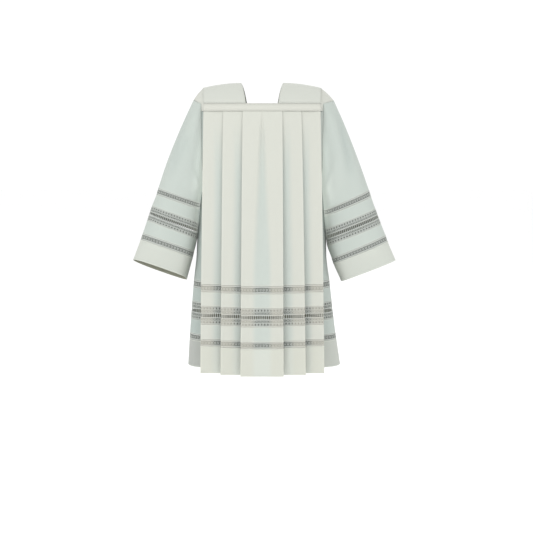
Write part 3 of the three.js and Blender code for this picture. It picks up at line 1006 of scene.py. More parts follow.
class Socket:
    """Wraps a node socket so that shader and geometry maths reads as Python."""

    def __init__(self, desk: "NodeDesk", socket: bpy.types.NodeSocket) -> None:
        """Keeps the socket and the desk that makes its nodes."""
        self.desk = desk
        self.socket = socket

    def _math(self, operation: str, *values: Union["Socket", float]) -> "Socket":
        """Adds a Math node over these values."""
        return self.desk.make("ShaderNodeMath", {"operation": operation}, dict(enumerate(values)))

    def __add__(self, other: Union["Socket", float]) -> "Socket":
        """This plus another."""
        return self._math("ADD", self, other)

    def __sub__(self, other: Union["Socket", float]) -> "Socket":
        """This less another."""
        return self._math("SUBTRACT", self, other)

    def __rsub__(self, other: float) -> "Socket":
        """Another less this."""
        return self._math("SUBTRACT", other, self)

    def __mul__(self, other: Union["Socket", float]) -> "Socket":
        """This times another."""
        return self._math("MULTIPLY", self, other)

    def at_least(self, other: Union["Socket", float]) -> "Socket":
        """The greater of this and another."""
        return self._math("MAXIMUM", self, other)

    __radd__ = __add__
    __rmul__ = __mul__


Colour = tuple[float, float, float]
Value = Union[Socket, float, tuple, int, str, bpy.types.ID]


class NodeDesk:
    """Makes the nodes of one tree."""

    def __init__(self, tree: bpy.types.NodeTree) -> None:
        """Clears the tree."""
        self.tree = tree
        tree.nodes.clear()

    def make(self, kind: str, settings: Optional[dict] = None, values: Optional[dict] = None,
             output: Union[int, str] = 0) -> Socket:
        """Makes a node.

        Args:
            kind: The node's type.
            settings: Its properties, such as a Math node's operation, set first.
            values: Its inputs by name or number, as numbers or links.
            output: Which output to hand back.

        Returns:
            The chosen output.
        """
        node = self.tree.nodes.new(kind)
        for key, value in (settings or {}).items():
            setattr(node, key, value)
        for key, value in (values or {}).items():
            target = self._input(node, key)
            if isinstance(value, Socket):
                self.tree.links.new(value.socket, target)
            else:
                target.default_value = value
        shown = [s for s in node.outputs if s.enabled]
        if not shown:
            return Socket(self, None)
        return Socket(self, shown[output] if isinstance(output, int) else node.outputs[output])

    def kept(self, name: str) -> Socket:
        """A value that is kept at each point of the mesh."""
        return self.make("ShaderNodeAttribute", {"attribute_name": name}, output="Fac")

    def places(self) -> tuple[Socket, Socket]:
        """The place on the flat cloth, and the place on the object."""
        flat = self.make("ShaderNodeUVMap", {"uv_map": UV_NAME})
        return flat, self.make("ShaderNodeTexCoord", output="Object")

    def noise(self, place: Socket, scale: float, detail: float) -> Socket:
        """A cloudy value about a half."""
        values = {"Vector": place, "Scale": scale, "Detail": detail}
        return self.make("ShaderNodeTexNoise", values=values)

    def blend(self, share: Socket, first: Union[Socket, Colour], second: Colour) -> Socket:
        """A colour between two others, by a share that is held from 0 to 1.

        Args:
            share: How much of the second there is.
            first: A colour or a link.
            second: A colour.

        Returns:
            The colour.
        """
        start = first if isinstance(first, Socket) else (*first, 1)
        values = {"Factor": share, "A": start, "B": (*second, 1)}
        return self.make("ShaderNodeMix", {"data_type": "RGBA", "clamp_factor": True}, values)

    def scaled(self, colour: Union[Socket, Colour], by: Socket) -> Socket:
        """A colour made lighter or deeper."""
        return self.make("ShaderNodeVectorMath", {"operation": "SCALE"}, {0: colour, "Scale": by})

    def bump(self, strength: float, distance: float, height: Socket) -> Socket:
        """A fine relief."""
        values = {"Strength": strength, "Distance": distance, "Height": height}
        return self.make("ShaderNodeBump", values=values)

    def painted_glow(self, colour: Socket) -> Socket:
        """A painted glow that stands for light through thin cloth, by the share kept at each point."""
        return self.scaled(colour, self.kept(PAINTED_GLOW_NAME))

    @staticmethod
    def _input(node: bpy.types.Node, key: Union[int, str]) -> bpy.types.NodeSocket:
        """Finds an enabled input by name or number.

        Args:
            node: The node.
            key: The input's name, or its number among the enabled ones.

        Returns:
            The input.
        """
        shown = [s for s in node.inputs if s.enabled]
        if isinstance(key, int):
            return shown[key]
        return next(s for s in shown if s.name == key)


TILT_SEED = 1


class Repeater:
    """A Geometry Nodes tree that sets copies of an item in a straight row."""

    INPUTS = (
        ("Item", "NodeSocketObject"),
        ("Count", "NodeSocketInt"),
        ("Pitch", "NodeSocketFloat"),
        ("Tilt", "NodeSocketFloat"),
        ("Seed", "NodeSocketInt"),
        ("Weld", "NodeSocketFloat"),
        ("Material", "NodeSocketMaterial"),
    )

    def __init__(self) -> None:
        """Builds the tree."""
        self.tree = bpy.data.node_groups.new("row_of_items", "GeometryNodeTree")
        desk = NodeDesk(self.tree)
        self.sockets = {}
        for name, kind in self.INPUTS:
            made = self.tree.interface.new_socket(name=name, in_out="INPUT", socket_type=kind)
            self.sockets[name] = made.identifier
        self.tree.interface.new_socket(
            name="Geometry", in_out="OUTPUT", socket_type="NodeSocketGeometry",
        )
        group = self.tree.nodes.new("NodeGroupInput")
        given = {name: Socket(desk, group.outputs[name]) for name, _ in self.INPUTS}
        offset = desk.make("ShaderNodeCombineXYZ", values={"X": given["Pitch"]})
        row = desk.make("GeometryNodeMeshLine", values={"Count": given["Count"], "Offset": offset})
        item = desk.make("GeometryNodeObjectInfo", values={"Object": given["Item"]}, output="Geometry")
        tilt = desk.make(
            "FunctionNodeRandomValue",
            {"data_type": "FLOAT"},
            {"Min": given["Tilt"] * -1, "Max": given["Tilt"], "Seed": given["Seed"]},
        )
        turn = desk.make("ShaderNodeCombineXYZ", values={"Y": tilt})
        set_out = {"Points": row, "Instance": item, "Rotation": turn}
        copies = desk.make("GeometryNodeInstanceOnPoints", values=set_out)
        whole = desk.make("GeometryNodeRealizeInstances", values={"Geometry": copies})
        merging = {"Geometry": whole, "Distance": given["Weld"]}
        joined = desk.make("GeometryNodeMergeByDistance", values=merging)
        finish = {"Geometry": joined, "Material": given["Material"]}
        dressed = desk.make("GeometryNodeSetMaterial", values=finish)
        out = self.tree.nodes.new("NodeGroupOutput")
        self.tree.links.new(dressed.socket, out.inputs["Geometry"])
        self.items: dict[str, bpy.types.Object] = {}

    def item(self, motif: Motif) -> bpy.types.Object:
        """Draws a motif once and keeps it for every row.

        Args:
            motif: What is repeated.

        Returns:
            The drawn item.
        """
        if motif.name not in self.items:
            work = ThreadWork()
            motif.draw(work)
            self.items[motif.name] = work.item(motif.name)
        return self.items[motif.name]

    def row(self, motif: Motif, length: float, material: bpy.types.Material,
            tilt: float) -> tuple[np.ndarray, list[tuple[int, ...]]]:
        """Makes a flat row of a motif that fills a length.

        Args:
            motif: What is repeated.
            length: The row's length, in millimetres.
            material: Its material.
            tilt: The most that each copy turns either way, in radians.

        Returns:
            The points, in millimetres, stretched to fill the length, and the faces.
        """
        count = max(1, round(length / motif.pitch))
        carrier = mesh_piece("row_carrier", np.zeros((1, 3)), np.zeros((0, 3), int))
        modifier = carrier.modifiers.new("row", "NODES")
        modifier.node_group = self.tree
        inputs = {
            "Item": self.item(motif), "Count": count, "Pitch": motif.pitch * MM,
            "Tilt": tilt, "Seed": TILT_SEED, "Weld": WELD, "Material": material,
        }
        for name, value in inputs.items():
            modifier[self.sockets[name]] = value
        carrier.data.update()
        bpy.context.view_layer.update()
        graph = bpy.context.evaluated_depsgraph_get()
        mesh = bpy.data.meshes.new_from_object(carrier.evaluated_get(graph))
        points = np.empty(len(mesh.vertices) * 3)
        mesh.vertices.foreach_get("co", points)
        points = points.reshape(-1, 3) / MM
        points[:, 0] *= length / (count * motif.pitch)
        faces = [tuple(p.vertices) for p in mesh.polygons]
        carrier.modifiers.remove(modifier)
        bpy.data.objects.remove(carrier)
        bpy.data.meshes.remove(mesh)
        return points, faces

    def clear(self) -> None:
        """Removes the items once every row is made."""
        for piece in self.items.values():
            bpy.data.objects.remove(piece)
        self.items.clear()


class ThreadPiece:
    """Gathers rows of threads laid on a surface, and makes them one piece."""

    def __init__(self, surface: Surface, repeater: Repeater, material: bpy.types.Material) -> None:
        """Starts with no rows."""
        self.surface = surface
        self.repeater = repeater
        self.material = material
        self.points: list[np.ndarray] = []
        self.shading: list[Shading] = []
        self.faces: list[tuple[int, ...]] = []
        self.count = 0

    def lay(self, motif: Motif, foot: float, scale: float = 1, out: float = 0, tilt: float = 0,
            upside_down: bool = False) -> None:
        """Lays a row of a motif on the surface, all the way across.

        Args:
            motif: What is repeated.
            foot: How far down the cloth the row's foot lies, in millimetres.
            scale: How much the row is stretched down the cloth.
            out: How far the row stands off the surface.
            tilt: The most that each copy turns either way, in radians.
            upside_down: Whether the row hangs the other way up, about the same foot.
        """
        points, faces = self.repeater.row(motif, self.surface.width, self.material, tilt)
        up = points[:, 2]
        if upside_down:
            up = -up
            faces = [tuple(reversed(f)) for f in faces]
        down = foot - up * scale
        placed = self.surface.place(points[:, 0], down, out - points[:, 1])
        self.points.append(placed)
        self.shading.append(self.surface.shading_at(points[:, 0], down))
        self.faces += [tuple(i + self.count for i in f) for f in faces]
        self.count += len(placed)

    def piece(self, name: str) -> bpy.types.Object:
        """Makes the rows one object, with its shading and its material.

        Args:
            name: The piece's name.

        Returns:
            The piece.
        """
        piece = mesh_piece(name, np.concatenate(self.points) * MM, self.faces)
        backing = np.concatenate([s.backing for s in self.shading])
        light = np.concatenate([s.light for s in self.shading])
        Shading(backing, light).write(piece.data)
        piece.data.materials.append(self.material)
        return welded(piece) if self.surface.closed else piece


# Finishes


@dataclass(frozen=True)
class Finish:
    """What every finish shares: its name, and how its shader becomes a material."""

    name: str

    def inputs(self, desk: NodeDesk) -> dict[str, Value]:
        """The shader's inputs, which each finish gives.

        Args:
            desk: What makes the nodes.

        Returns:
            The values and links, by the inputs' names.
        """
        raise NotImplementedError

    def material(self) -> bpy.types.Material:
        """Builds the material.

        Returns:
            The material.
        """
        made = bpy.data.materials.new(self.name)
        made.use_nodes = True
        desk = NodeDesk(made.node_tree)
        shader = desk.make("ShaderNodeBsdfPrincipled", values=self.inputs(desk))
        desk.make("ShaderNodeOutputMaterial", values={"Surface": shader})
        return made


@dataclass(frozen=True)
class ClothFinish(Finish):
    """A plain weave, warm where it lies on other layers, cool where it is single, which is partly a
    painted shade, deeper as a painted shade where it hangs loose at the sides, and with a painted glow.
    """

    single: Colour
    backed: Colour
    painted_side_shade: Colour
    thread: float = 0.0011
    clouding: float = 0.2
    relief: float = 0.25
    roughness: float = 0.86
    sheen: float = 0.12

    def inputs(self, desk: NodeDesk) -> dict[str, Value]:
        """The shader's inputs.

        Args:
            desk: What makes the nodes.

        Returns:
            The values and links, by the inputs' names.
        """
        flat, place = desk.places()
        backing = desk.kept(BACKING_NAME)
        cloud = desk.noise(place, scale=9.0, detail=3.0)
        slub = desk.noise(flat, scale=420.0, detail=2.0)
        fine = desk.noise(place, scale=55.0, detail=4.0)
        yarns = {
            "Vector": flat, "Scale": math.pi / self.thread / 10, "Distortion": 0.6, "Detail Scale": 2.0,
        }
        warp, weft = (
            desk.make("ShaderNodeTexWave", {"bands_direction": way}, yarns) for way in ("X", "Y")
        )
        weave = warp * weft
        # Below 0 the backing mixes in the painted shade of the sides.
        hung = desk.blend(backing * -1, self.single, self.painted_side_shade)
        covered = backing.at_least(0) + (cloud - 0.5) * self.clouding
        colour = desk.blend(covered, hung, self.backed)
        return {
            "Base Color": desk.scaled(colour, 0.985 + weave * 0.02 + (slub - 0.5) * 0.03),
            "Roughness": self.roughness + (slub - 0.5) * 0.08,
            "Normal": desk.bump(self.relief, 0.0008, weave + fine * 0.7 + slub * 0.3),
            # Painted glow: emission scaled by the light attribute.
            "Emission Color": desk.painted_glow(colour),
            "Emission Strength": 1.0,
            "Sheen Weight": self.sheen,
            "Sheen Roughness": 0.6,
            "Specular IOR Level": 0.25,
        }


@dataclass(frozen=True)
class NetFinish(Finish):
    """The lace's fine net ground, its tone a painted shade for the dark seen through the lace, deepest
    where nothing lies behind it.
    """

    single: Colour
    backed: Colour
    mesh: float = 0.0016

    def inputs(self, desk: NodeDesk) -> dict[str, Value]:
        """The shader's inputs.

        Args:
            desk: What makes the nodes.

        Returns:
            The values and links, by the inputs' names.
        """
        flat, _ = desk.places()
        cells = desk.make(
            "ShaderNodeTexVoronoi",
            {"feature": "DISTANCE_TO_EDGE", "voronoi_dimensions": "2D"},
            {"Vector": flat, "Scale": 1 / self.mesh, "Randomness": 0.35},
        )
        colour = desk.blend(desk.kept(BACKING_NAME), self.single, self.backed)
        shaded = desk.scaled(colour, 1.12 - cells * 0.6)
        return {
            "Base Color": shaded,
            "Roughness": 0.85 - cells * 0.1,
            "Normal": desk.bump(0.3, 0.0003, cells * -1),
            # Painted glow: emission scaled by the light attribute.
            "Emission Color": desk.painted_glow(shaded),
            "Emission Strength": 1.0,
            "Specular IOR Level": 0.2,
        }


@dataclass(frozen=True)
class ThreadFinish(Finish):
    """Soft cotton thread, with its twist as a fine relief, a painted shade where it is single and a
    painted glow.
    """

    single: Colour
    backed: Colour
    clouding: float = 0.6
    twist: float = 900.0

    def inputs(self, desk: NodeDesk) -> dict[str, Value]:
        """The shader's inputs.

        Args:
            desk: What makes the nodes.

        Returns:
            The values and links, by the inputs' names.
        """
        _, place = desk.places()
        cloud = desk.noise(place, scale=60.0, detail=3.0)
        grain = desk.noise(place, scale=self.twist, detail=2.0)
        covered = desk.kept(BACKING_NAME) + (cloud - 0.5) * self.clouding
        colour = desk.blend(covered, self.single, self.backed)
        return {
            "Base Color": colour,
            "Roughness": 0.8 + (grain - 0.5) * 0.12,
            "Normal": desk.bump(0.35, 0.0004, grain),
            # Painted glow: emission scaled by the light attribute.
            "Emission Color": desk.painted_glow(colour),
            "Emission Strength": 1.0,
            "Sheen Weight": 0.1,
            "Specular IOR Level": 0.25,
        }


@dataclass(frozen=True)
class FloorFinish(Finish):
    """A plain pale floor with a barely seen unevenness."""

    name: str = "pale_floor"
    colour: Colour = (0.96, 0.96, 0.96)

    def inputs(self, desk: NodeDesk) -> dict[str, Value]:
        """The shader's inputs.

        Args:
            desk: What makes the nodes.

        Returns:
            The values and links, by the inputs' names.
        """
        _, place = desk.places()
        cloud = desk.noise(place, scale=1.5, detail=2.0)
        return {"Base Color": desk.scaled(self.colour, 0.99 + cloud * 0.02), "Roughness": 0.9}


# Single and backed are tones by layers, partly painted shade; the third tone is a painted shade for the
# sides.
CLOTH_FINISHES = {
    Slot.CLOTH: ClothFinish(
        "cotta_cloth",
        single=(0.445, 0.485, 0.45), backed=(0.505, 0.515, 0.465), painted_side_shade=(0.365, 0.415, 0.39),
    ),
    Slot.HEM: ClothFinish(
        "cotta_hem",
        single=(0.51, 0.535, 0.485), backed=(0.505, 0.515, 0.455), painted_side_shade=(0.36, 0.375, 0.35),
    ),
    Slot.YOKE: ClothFinish(
        "cotta_yoke",
        single=(0.48, 0.505, 0.465), backed=(0.515, 0.52, 0.47), painted_side_shade=(0.44, 0.47, 0.44),
    ),
}
# The inside of every sheet is the same cloth with a painted shade, darker and olive.
SHADED_INSIDE_FINISH = ClothFinish(
    "cotta_inside", single=(0.275, 0.28, 0.22), backed=(0.30, 0.305, 0.24), painted_side_shade=(0.255, 0.26, 0.205),
)
# The net's tones are a painted shade for the dark seen through the lace, deepest where it is single.
SHADED_NET_FINISH = NetFinish("cotta_net", single=(0.13, 0.14, 0.13), backed=(0.33, 0.325, 0.285))
# The threads' single tone is a painted shade for the dark seen through the lace.
LACE_FINISH = ThreadFinish("cotta_lace", single=(0.45, 0.475, 0.445), backed=(0.50, 0.50, 0.45))
SEWING_FINISH = ThreadFinish("cotta_sewing", single=(0.56, 0.58, 0.53), backed=(0.58, 0.59, 0.53))


@dataclass
class Dressing:
    """The materials, shared by every sub-assembly."""

    cloth: dict[Slot, bpy.types.Material]
    inside: bpy.types.Material
    net: bpy.types.Material
    lace: bpy.types.Material
    sewing: bpy.types.Material


def thickened(piece: bpy.types.Object, thickness: float, outside: bpy.types.Material,
              inside: bpy.types.Material) -> bpy.types.Object:
    """Gives a sheet its two finishes and its thickness, with closed edges.

    Args:
        piece: The sheet.
        thickness: How thick it is in all, half on each side, in millimetres.
        outside: The finish of its outside.
        inside: The finish of its inside, a painted shade.

    Returns:
        The piece.
    """
    piece.data.materials.append(outside)
    piece.data.materials.append(inside)
    solid = piece.modifiers.new("thickness", "SOLIDIFY")
    solid.thickness = thickness * MM
    solid.offset = 0
    solid.use_rim = True
    solid.material_offset = 1
    return piece


def hand_over(piece: bpy.types.Object, slot: Slot, nodes: Sequence[str]) -> bpy.types.Object:
    """Makes a piece ride on the garment and stand for its solids.

    Args:
        piece: The finished piece.
        slot: The record's material slot.
        nodes: The solids that it replaces, none for sewing.

    Returns:
        The piece.
    """
    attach(piece, "root")
    if nodes:
        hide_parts(*nodes)
    log.info("%s: %d faces", piece.name, len(piece.data.polygons))
    return piece


def declare(piece: bpy.types.Object, width: float, length: float, held: Held, rests_on: str,
            with_pieces: Sequence[bpy.types.Object] = ()) -> None:
    """Declares a sheet by its flat cut, in millimetres, or square millimetres for an area.

    Args:
        piece: The sheet, which is not used.
        width: Its flat width.
        length: Its flat length.
        held: How it is held, which is not used.
        rests_on: The solid that it hangs from or lies on, which is not used.
        with_pieces: The threads that are worked on it.
    """
    width * MM
    length * MM
    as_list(with_pieces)


class Garment:
    """What the sub-assemblies share: the thread rows, the materials and how bands are made."""

    def __init__(self) -> None:
        """Builds the materials and the row tree."""
        self.dressing = Dressing(
            cloth={slot: finish.material() for slot, finish in CLOTH_FINISHES.items()},
            inside=SHADED_INSIDE_FINISH.material(),
            net=SHADED_NET_FINISH.material(),
            lace=LACE_FINISH.material(),
            sewing=SEWING_FINISH.material(),
        )
        self.repeater = Repeater()

    def threads(self, surface: Surface, material: bpy.types.Material) -> ThreadPiece:
        """Starts a piece of lace or sewing on a surface."""
        return ThreadPiece(surface, self.repeater, material)

    def band(self, surface: Surface, name: str,
             band: Band) -> tuple[bpy.types.Object, list[bpy.types.Object]]:
        """Makes a band of lace or of cloth.

        Args:
            surface: What it lies on.
            name: The name of the solid that it stands for.
            band: Where it lies down the cloth, and what it is.

        Returns:
            The sheet, and the threads that are worked on it, if any.
        """
        dressing = self.dressing
        if band.slot is Slot.LACE:
            return self.lace_band(surface, name, band)
        turned = (0 if band.name in FIRST_BANDS else TURNED.rise, TURNED.rise)
        thickness = DOUBLE_THICKNESS if band.slot is Slot.HEM else CLOTH_THICKNESS
        piece = surface.cloth(f"{name}_cloth", band.top, band.bottom, turned)
        return thickened(piece, thickness, dressing.cloth[band.slot], dressing.inside), []

    def lace_band(self, surface: Surface, name: str,
                  band: Band) -> tuple[bpy.types.Object, list[bpy.types.Object]]:
        """Makes a band of lace: its net ground and the threads worked on it, as band does.

        Args:
            surface: What it lies on.
            name: The name of the solid that it stands for.
            band: Where it lies down the cloth, and whether it has a ladder.

        Returns:
            The net ground, and the threads.
        """
        made = self.threads(surface, self.dressing.lace)
        height = band.bottom - band.top
        gap = None
        if band.ladder:
            row = (height - LADDER_TALL) / 2
            gap = (band.top + row, band.bottom - row)
            made.lay(PICKET_LACE, gap[0], row / NARROW_HEIGHT, THREAD_LIFT)
            made.lay(LADDER_BAR, gap[1])
            made.lay(PICKET_LACE, gap[1], row / NARROW_HEIGHT, THREAD_LIFT, upside_down=True)
        else:
            made.lay(FLOWER_LACE, band.bottom, height / NARROW_HEIGHT, THREAD_LIFT)
        ground = surface.cloth(f"{name}_net", band.top, band.bottom, gap=gap)
        thickened(ground, NET_THICKNESS, self.dressing.net, self.dressing.inside)
        return ground, [hand_over(made.piece(f"{name}_threads"), band.slot, [])]

    def sew_edge(self, surface: Surface, name: str, start: float, edge: float) -> None:
        """Sews a hem or cuff, with piping where it starts and stitches by its edge.

        Args:
            surface: What it lies on.
            name: The name of the sewing.
            start: Where the hem or cuff starts down the cloth, in millimetres.
            edge: Where it ends.
        """
        sewing = self.threads(surface, self.dressing.sewing)
        sewing.lay(PIPING, start + SEWN.piping_down, out=SEWN.piping_out)
        sewing.lay(STITCH, edge - SEWN.stitches_up, out=SEWN.stitches_out, tilt=SEWN.tilt)
        hand_over(sewing.piece(name), Slot.HEM, [])


@dataclass
class BodyPanel:
    """A front or back panel with its knife pleats, its lace and its hem."""

    face: Face
    garment: Garment
    level_step: float = 12
    crisp_radius: float = 1.4
    soft_radius: float = 11
    # These shape the backing tone: the layers, with painted shade beside the fold edges, in the centre
    # and at the sides, and a painted highlight at the fold edges.
    opened_at: float = 260
    centre_lap_at: float = 520
    lap_ease: float = 22
    painted_rim_highlight: float = 0.7
    painted_rim_width: float = 2
    painted_rim_glow: float = 0.1
    painted_side_shade_ease: float = 4

    def half_section(self, section: Section, side: Side) -> np.ndarray:
        """The corners of one half of a level section, from the centre outwards.

        Args:
            section: The section.
            side: Which half.

        Returns:
            Distances from the centre line and depths from the mid plane.
        """
        spread = ((PANEL_TOP - section.z) / (PANEL_TOP - HEM)) ** PLEAT_SPREAD_POWER
        *inner_folds, outer = (mix(f.at_yoke, f.at_hem, spread) for f in FOLDS[side])
        centre = getattr(section, self.face.value)
        edge = min(section.layer * PLEAT_EDGE_SHARE, PLEAT_EDGE)
        half = section.trough_half

        def depth(x: float, layers: int) -> float:
            """The depth at a distance from the centre line, under so many layers."""
            return centre - section.round * (x / ROUND_HALF) ** 2 - layers * section.layer

        points = [
            (0, centre - section.trough),
            (half / 2, depth(half / 2, 0) - section.trough / 2),
            (half, depth(half, 0)),
        ]
        layers = 0
        for fold in inner_folds:
            turned = fold - PLEAT_LAP
            points += [
                (fold, depth(fold, layers)),
                (fold, depth(fold, layers) - edge),
                (turned, depth(turned, layers + 1)),
                (turned, depth(turned, layers + 2)),
            ]
            layers += 2
            points.append((fold + PLEAT_CLEAR, depth(fold + PLEAT_CLEAR, layers)))
        front = depth(outer, layers)
        turned = outer - PLEAT_LAP
        side_depth = front - SIDE_SETBACK * section.outer
        points += [
            (outer, front),
            (outer, front - edge),
            (turned, front - section.outer),
            (turned, side_depth),
        ]
        end = (getattr(section, side.value), max(section.armhole, SEAM_GAP / 2))
        power = 2 / section.corner
        for angle in SIDE_ANGLES:
            points.append((
                mix(turned, end[0], math.sin(angle) ** power),
                mix(end[1], side_depth, math.cos(angle) ** power),
            ))
        points.append(end)
        return np.array(points, float)

    def corners(self, section: Section) -> np.ndarray:
        """The corners of a whole level section, from the wearer's right to the left."""
        right, left = (self.half_section(section, side) for side in Side)
        return np.concatenate([right[::-1] * (-1, 1), left[1:]])

    def surface(self) -> Surface:
        """Works out the panel's smooth surface.

        Returns:
            The surface.
        """
        knots = [-s.z for s in SECTIONS]
        table = np.array([astuple(s)[1:] for s in SECTIONS])
        levels = np.unique(np.concatenate([
            np.arange(-PANEL_TOP, -HEM, self.level_step), knots, [b.bottom for b in BODY_BANDS],
        ]))
        counts, radii = self.run_counts(), self.corner_radii()
        rows = []
        backing = []
        for down, values in zip(levels, smooth_profile(knots, table, levels)):
            x, depth = rounded(self.corners(Section(-down, *values)), counts, radii).T
            level = np.full(len(x), down)
            depth = depth + crease_height(BODY_CREASES[self.face], x, level)
            backing.append(self.backing_of(x, down))
            rows.append(np.stack([x, self.face.sign * depth, -level], axis=1))
        points = np.array(rows)
        backing = np.array(backing)
        if self.face is Face.BACK:
            points = points[:, ::-1]
            backing = backing[:, ::-1]
        # Where backing rises over 1 at the fold edges it gives a painted glow, a painted highlight.
        light = self.painted_rim_glow * np.maximum(backing - 1, 0)
        return Surface(points, levels, backing=backing, light=light)

    def run_counts(self) -> list[int]:
        """How many steps divide each run, from its greatest length."""
        runs = [np.linalg.norm(np.diff(self.corners(s), axis=0), axis=1) for s in SECTIONS]
        return [max(1, round(length / FINE.across)) for length in np.max(runs, axis=0)]

    def corner_radii(self) -> list[float]:
        """How round each corner is: crisp at the folds, soft in the trough and at the side.

        Returns:
            How far each corner is cut back, at most.
        """
        count = len(self.corners(SECTIONS[0]))
        middle = (count - 1) // 2
        crisp = range(TROUGH_CORNERS + 1, middle - len(SIDE_ANGLES) - 1)
        return [
            self.crisp_radius if abs(i - middle) in crisp else self.soft_radius for i in range(count)
        ]

    def backing_of(self, x: np.ndarray, down: float) -> np.ndarray:
        """How far each place lies over a pleat's folded layers, with painted shade and a painted
        highlight.

        Args:
            x: Distances to the wearer's left of the centre line.
            down: How far down the cloth they are.

        Returns:
            1 over the layers, more at a pressed fold edge as a painted highlight, 0 where the cloth is
            single, which beside the fold edges and in the centre is partly a painted shade, and down to
            -1 as a painted shade where it hangs loose at the sides.
        """
        below = down + PANEL_TOP
        spread = (below / (PANEL_TOP - HEM)) ** PLEAT_SPREAD_POWER
        # The centre turns from backed to single below the yoke, partly a painted shade for its trough.
        open_share = float(eased(np.array(below / self.opened_at)))
        backed = np.full(len(x), 1 - open_share)
        painted_side_shade = np.zeros(len(x))
        for side in Side:
            place = x * side.sign
            for i, fold in enumerate(FOLDS[side]):
                edge = mix(fold.at_yoke, fold.at_hem, spread)
                start = (edge - PLEAT_LAP) * (min(1, below / self.centre_lap_at) if i == 0 else 1)
                on_layers = place <= edge + FOLD_SLACK
                inside = eased((place - start) / self.lap_ease + 0.5) * on_layers
                near = np.exp(-(((place - edge) / self.painted_rim_width) ** 2))
                # The rim adds a painted highlight along each pressed fold edge.
                backed = np.maximum(backed, inside + self.painted_rim_highlight * open_share * near * on_layers)
            outside = eased((place - edge - FOLD_SLACK) / self.painted_side_shade_ease)
            painted_side_shade = np.maximum(painted_side_shade, PAINTED_SIDE_SHADE[side] * outside)
        return mix(backed, -1, painted_side_shade)

    def build(self) -> None:
        """Makes every piece of the panel."""
        surface = self.surface()
        above = f"yoke_band_{self.face.value}"
        for band in BODY_BANDS:
            node = f"{band.name}_{self.face.value}"
            piece, worked = self.garment.band(surface, node, band)
            hand_over(piece, band.slot, [node])
            length = band.bottom - band.top
            declare(piece, surface.width, length, Held.HUNG, above, with_pieces=worked)
            above = node
        hem = BODY_BANDS[-1]
        self.garment.sew_edge(surface, f"hem_stitches_{self.face.value}", hem.top, hem.bottom)


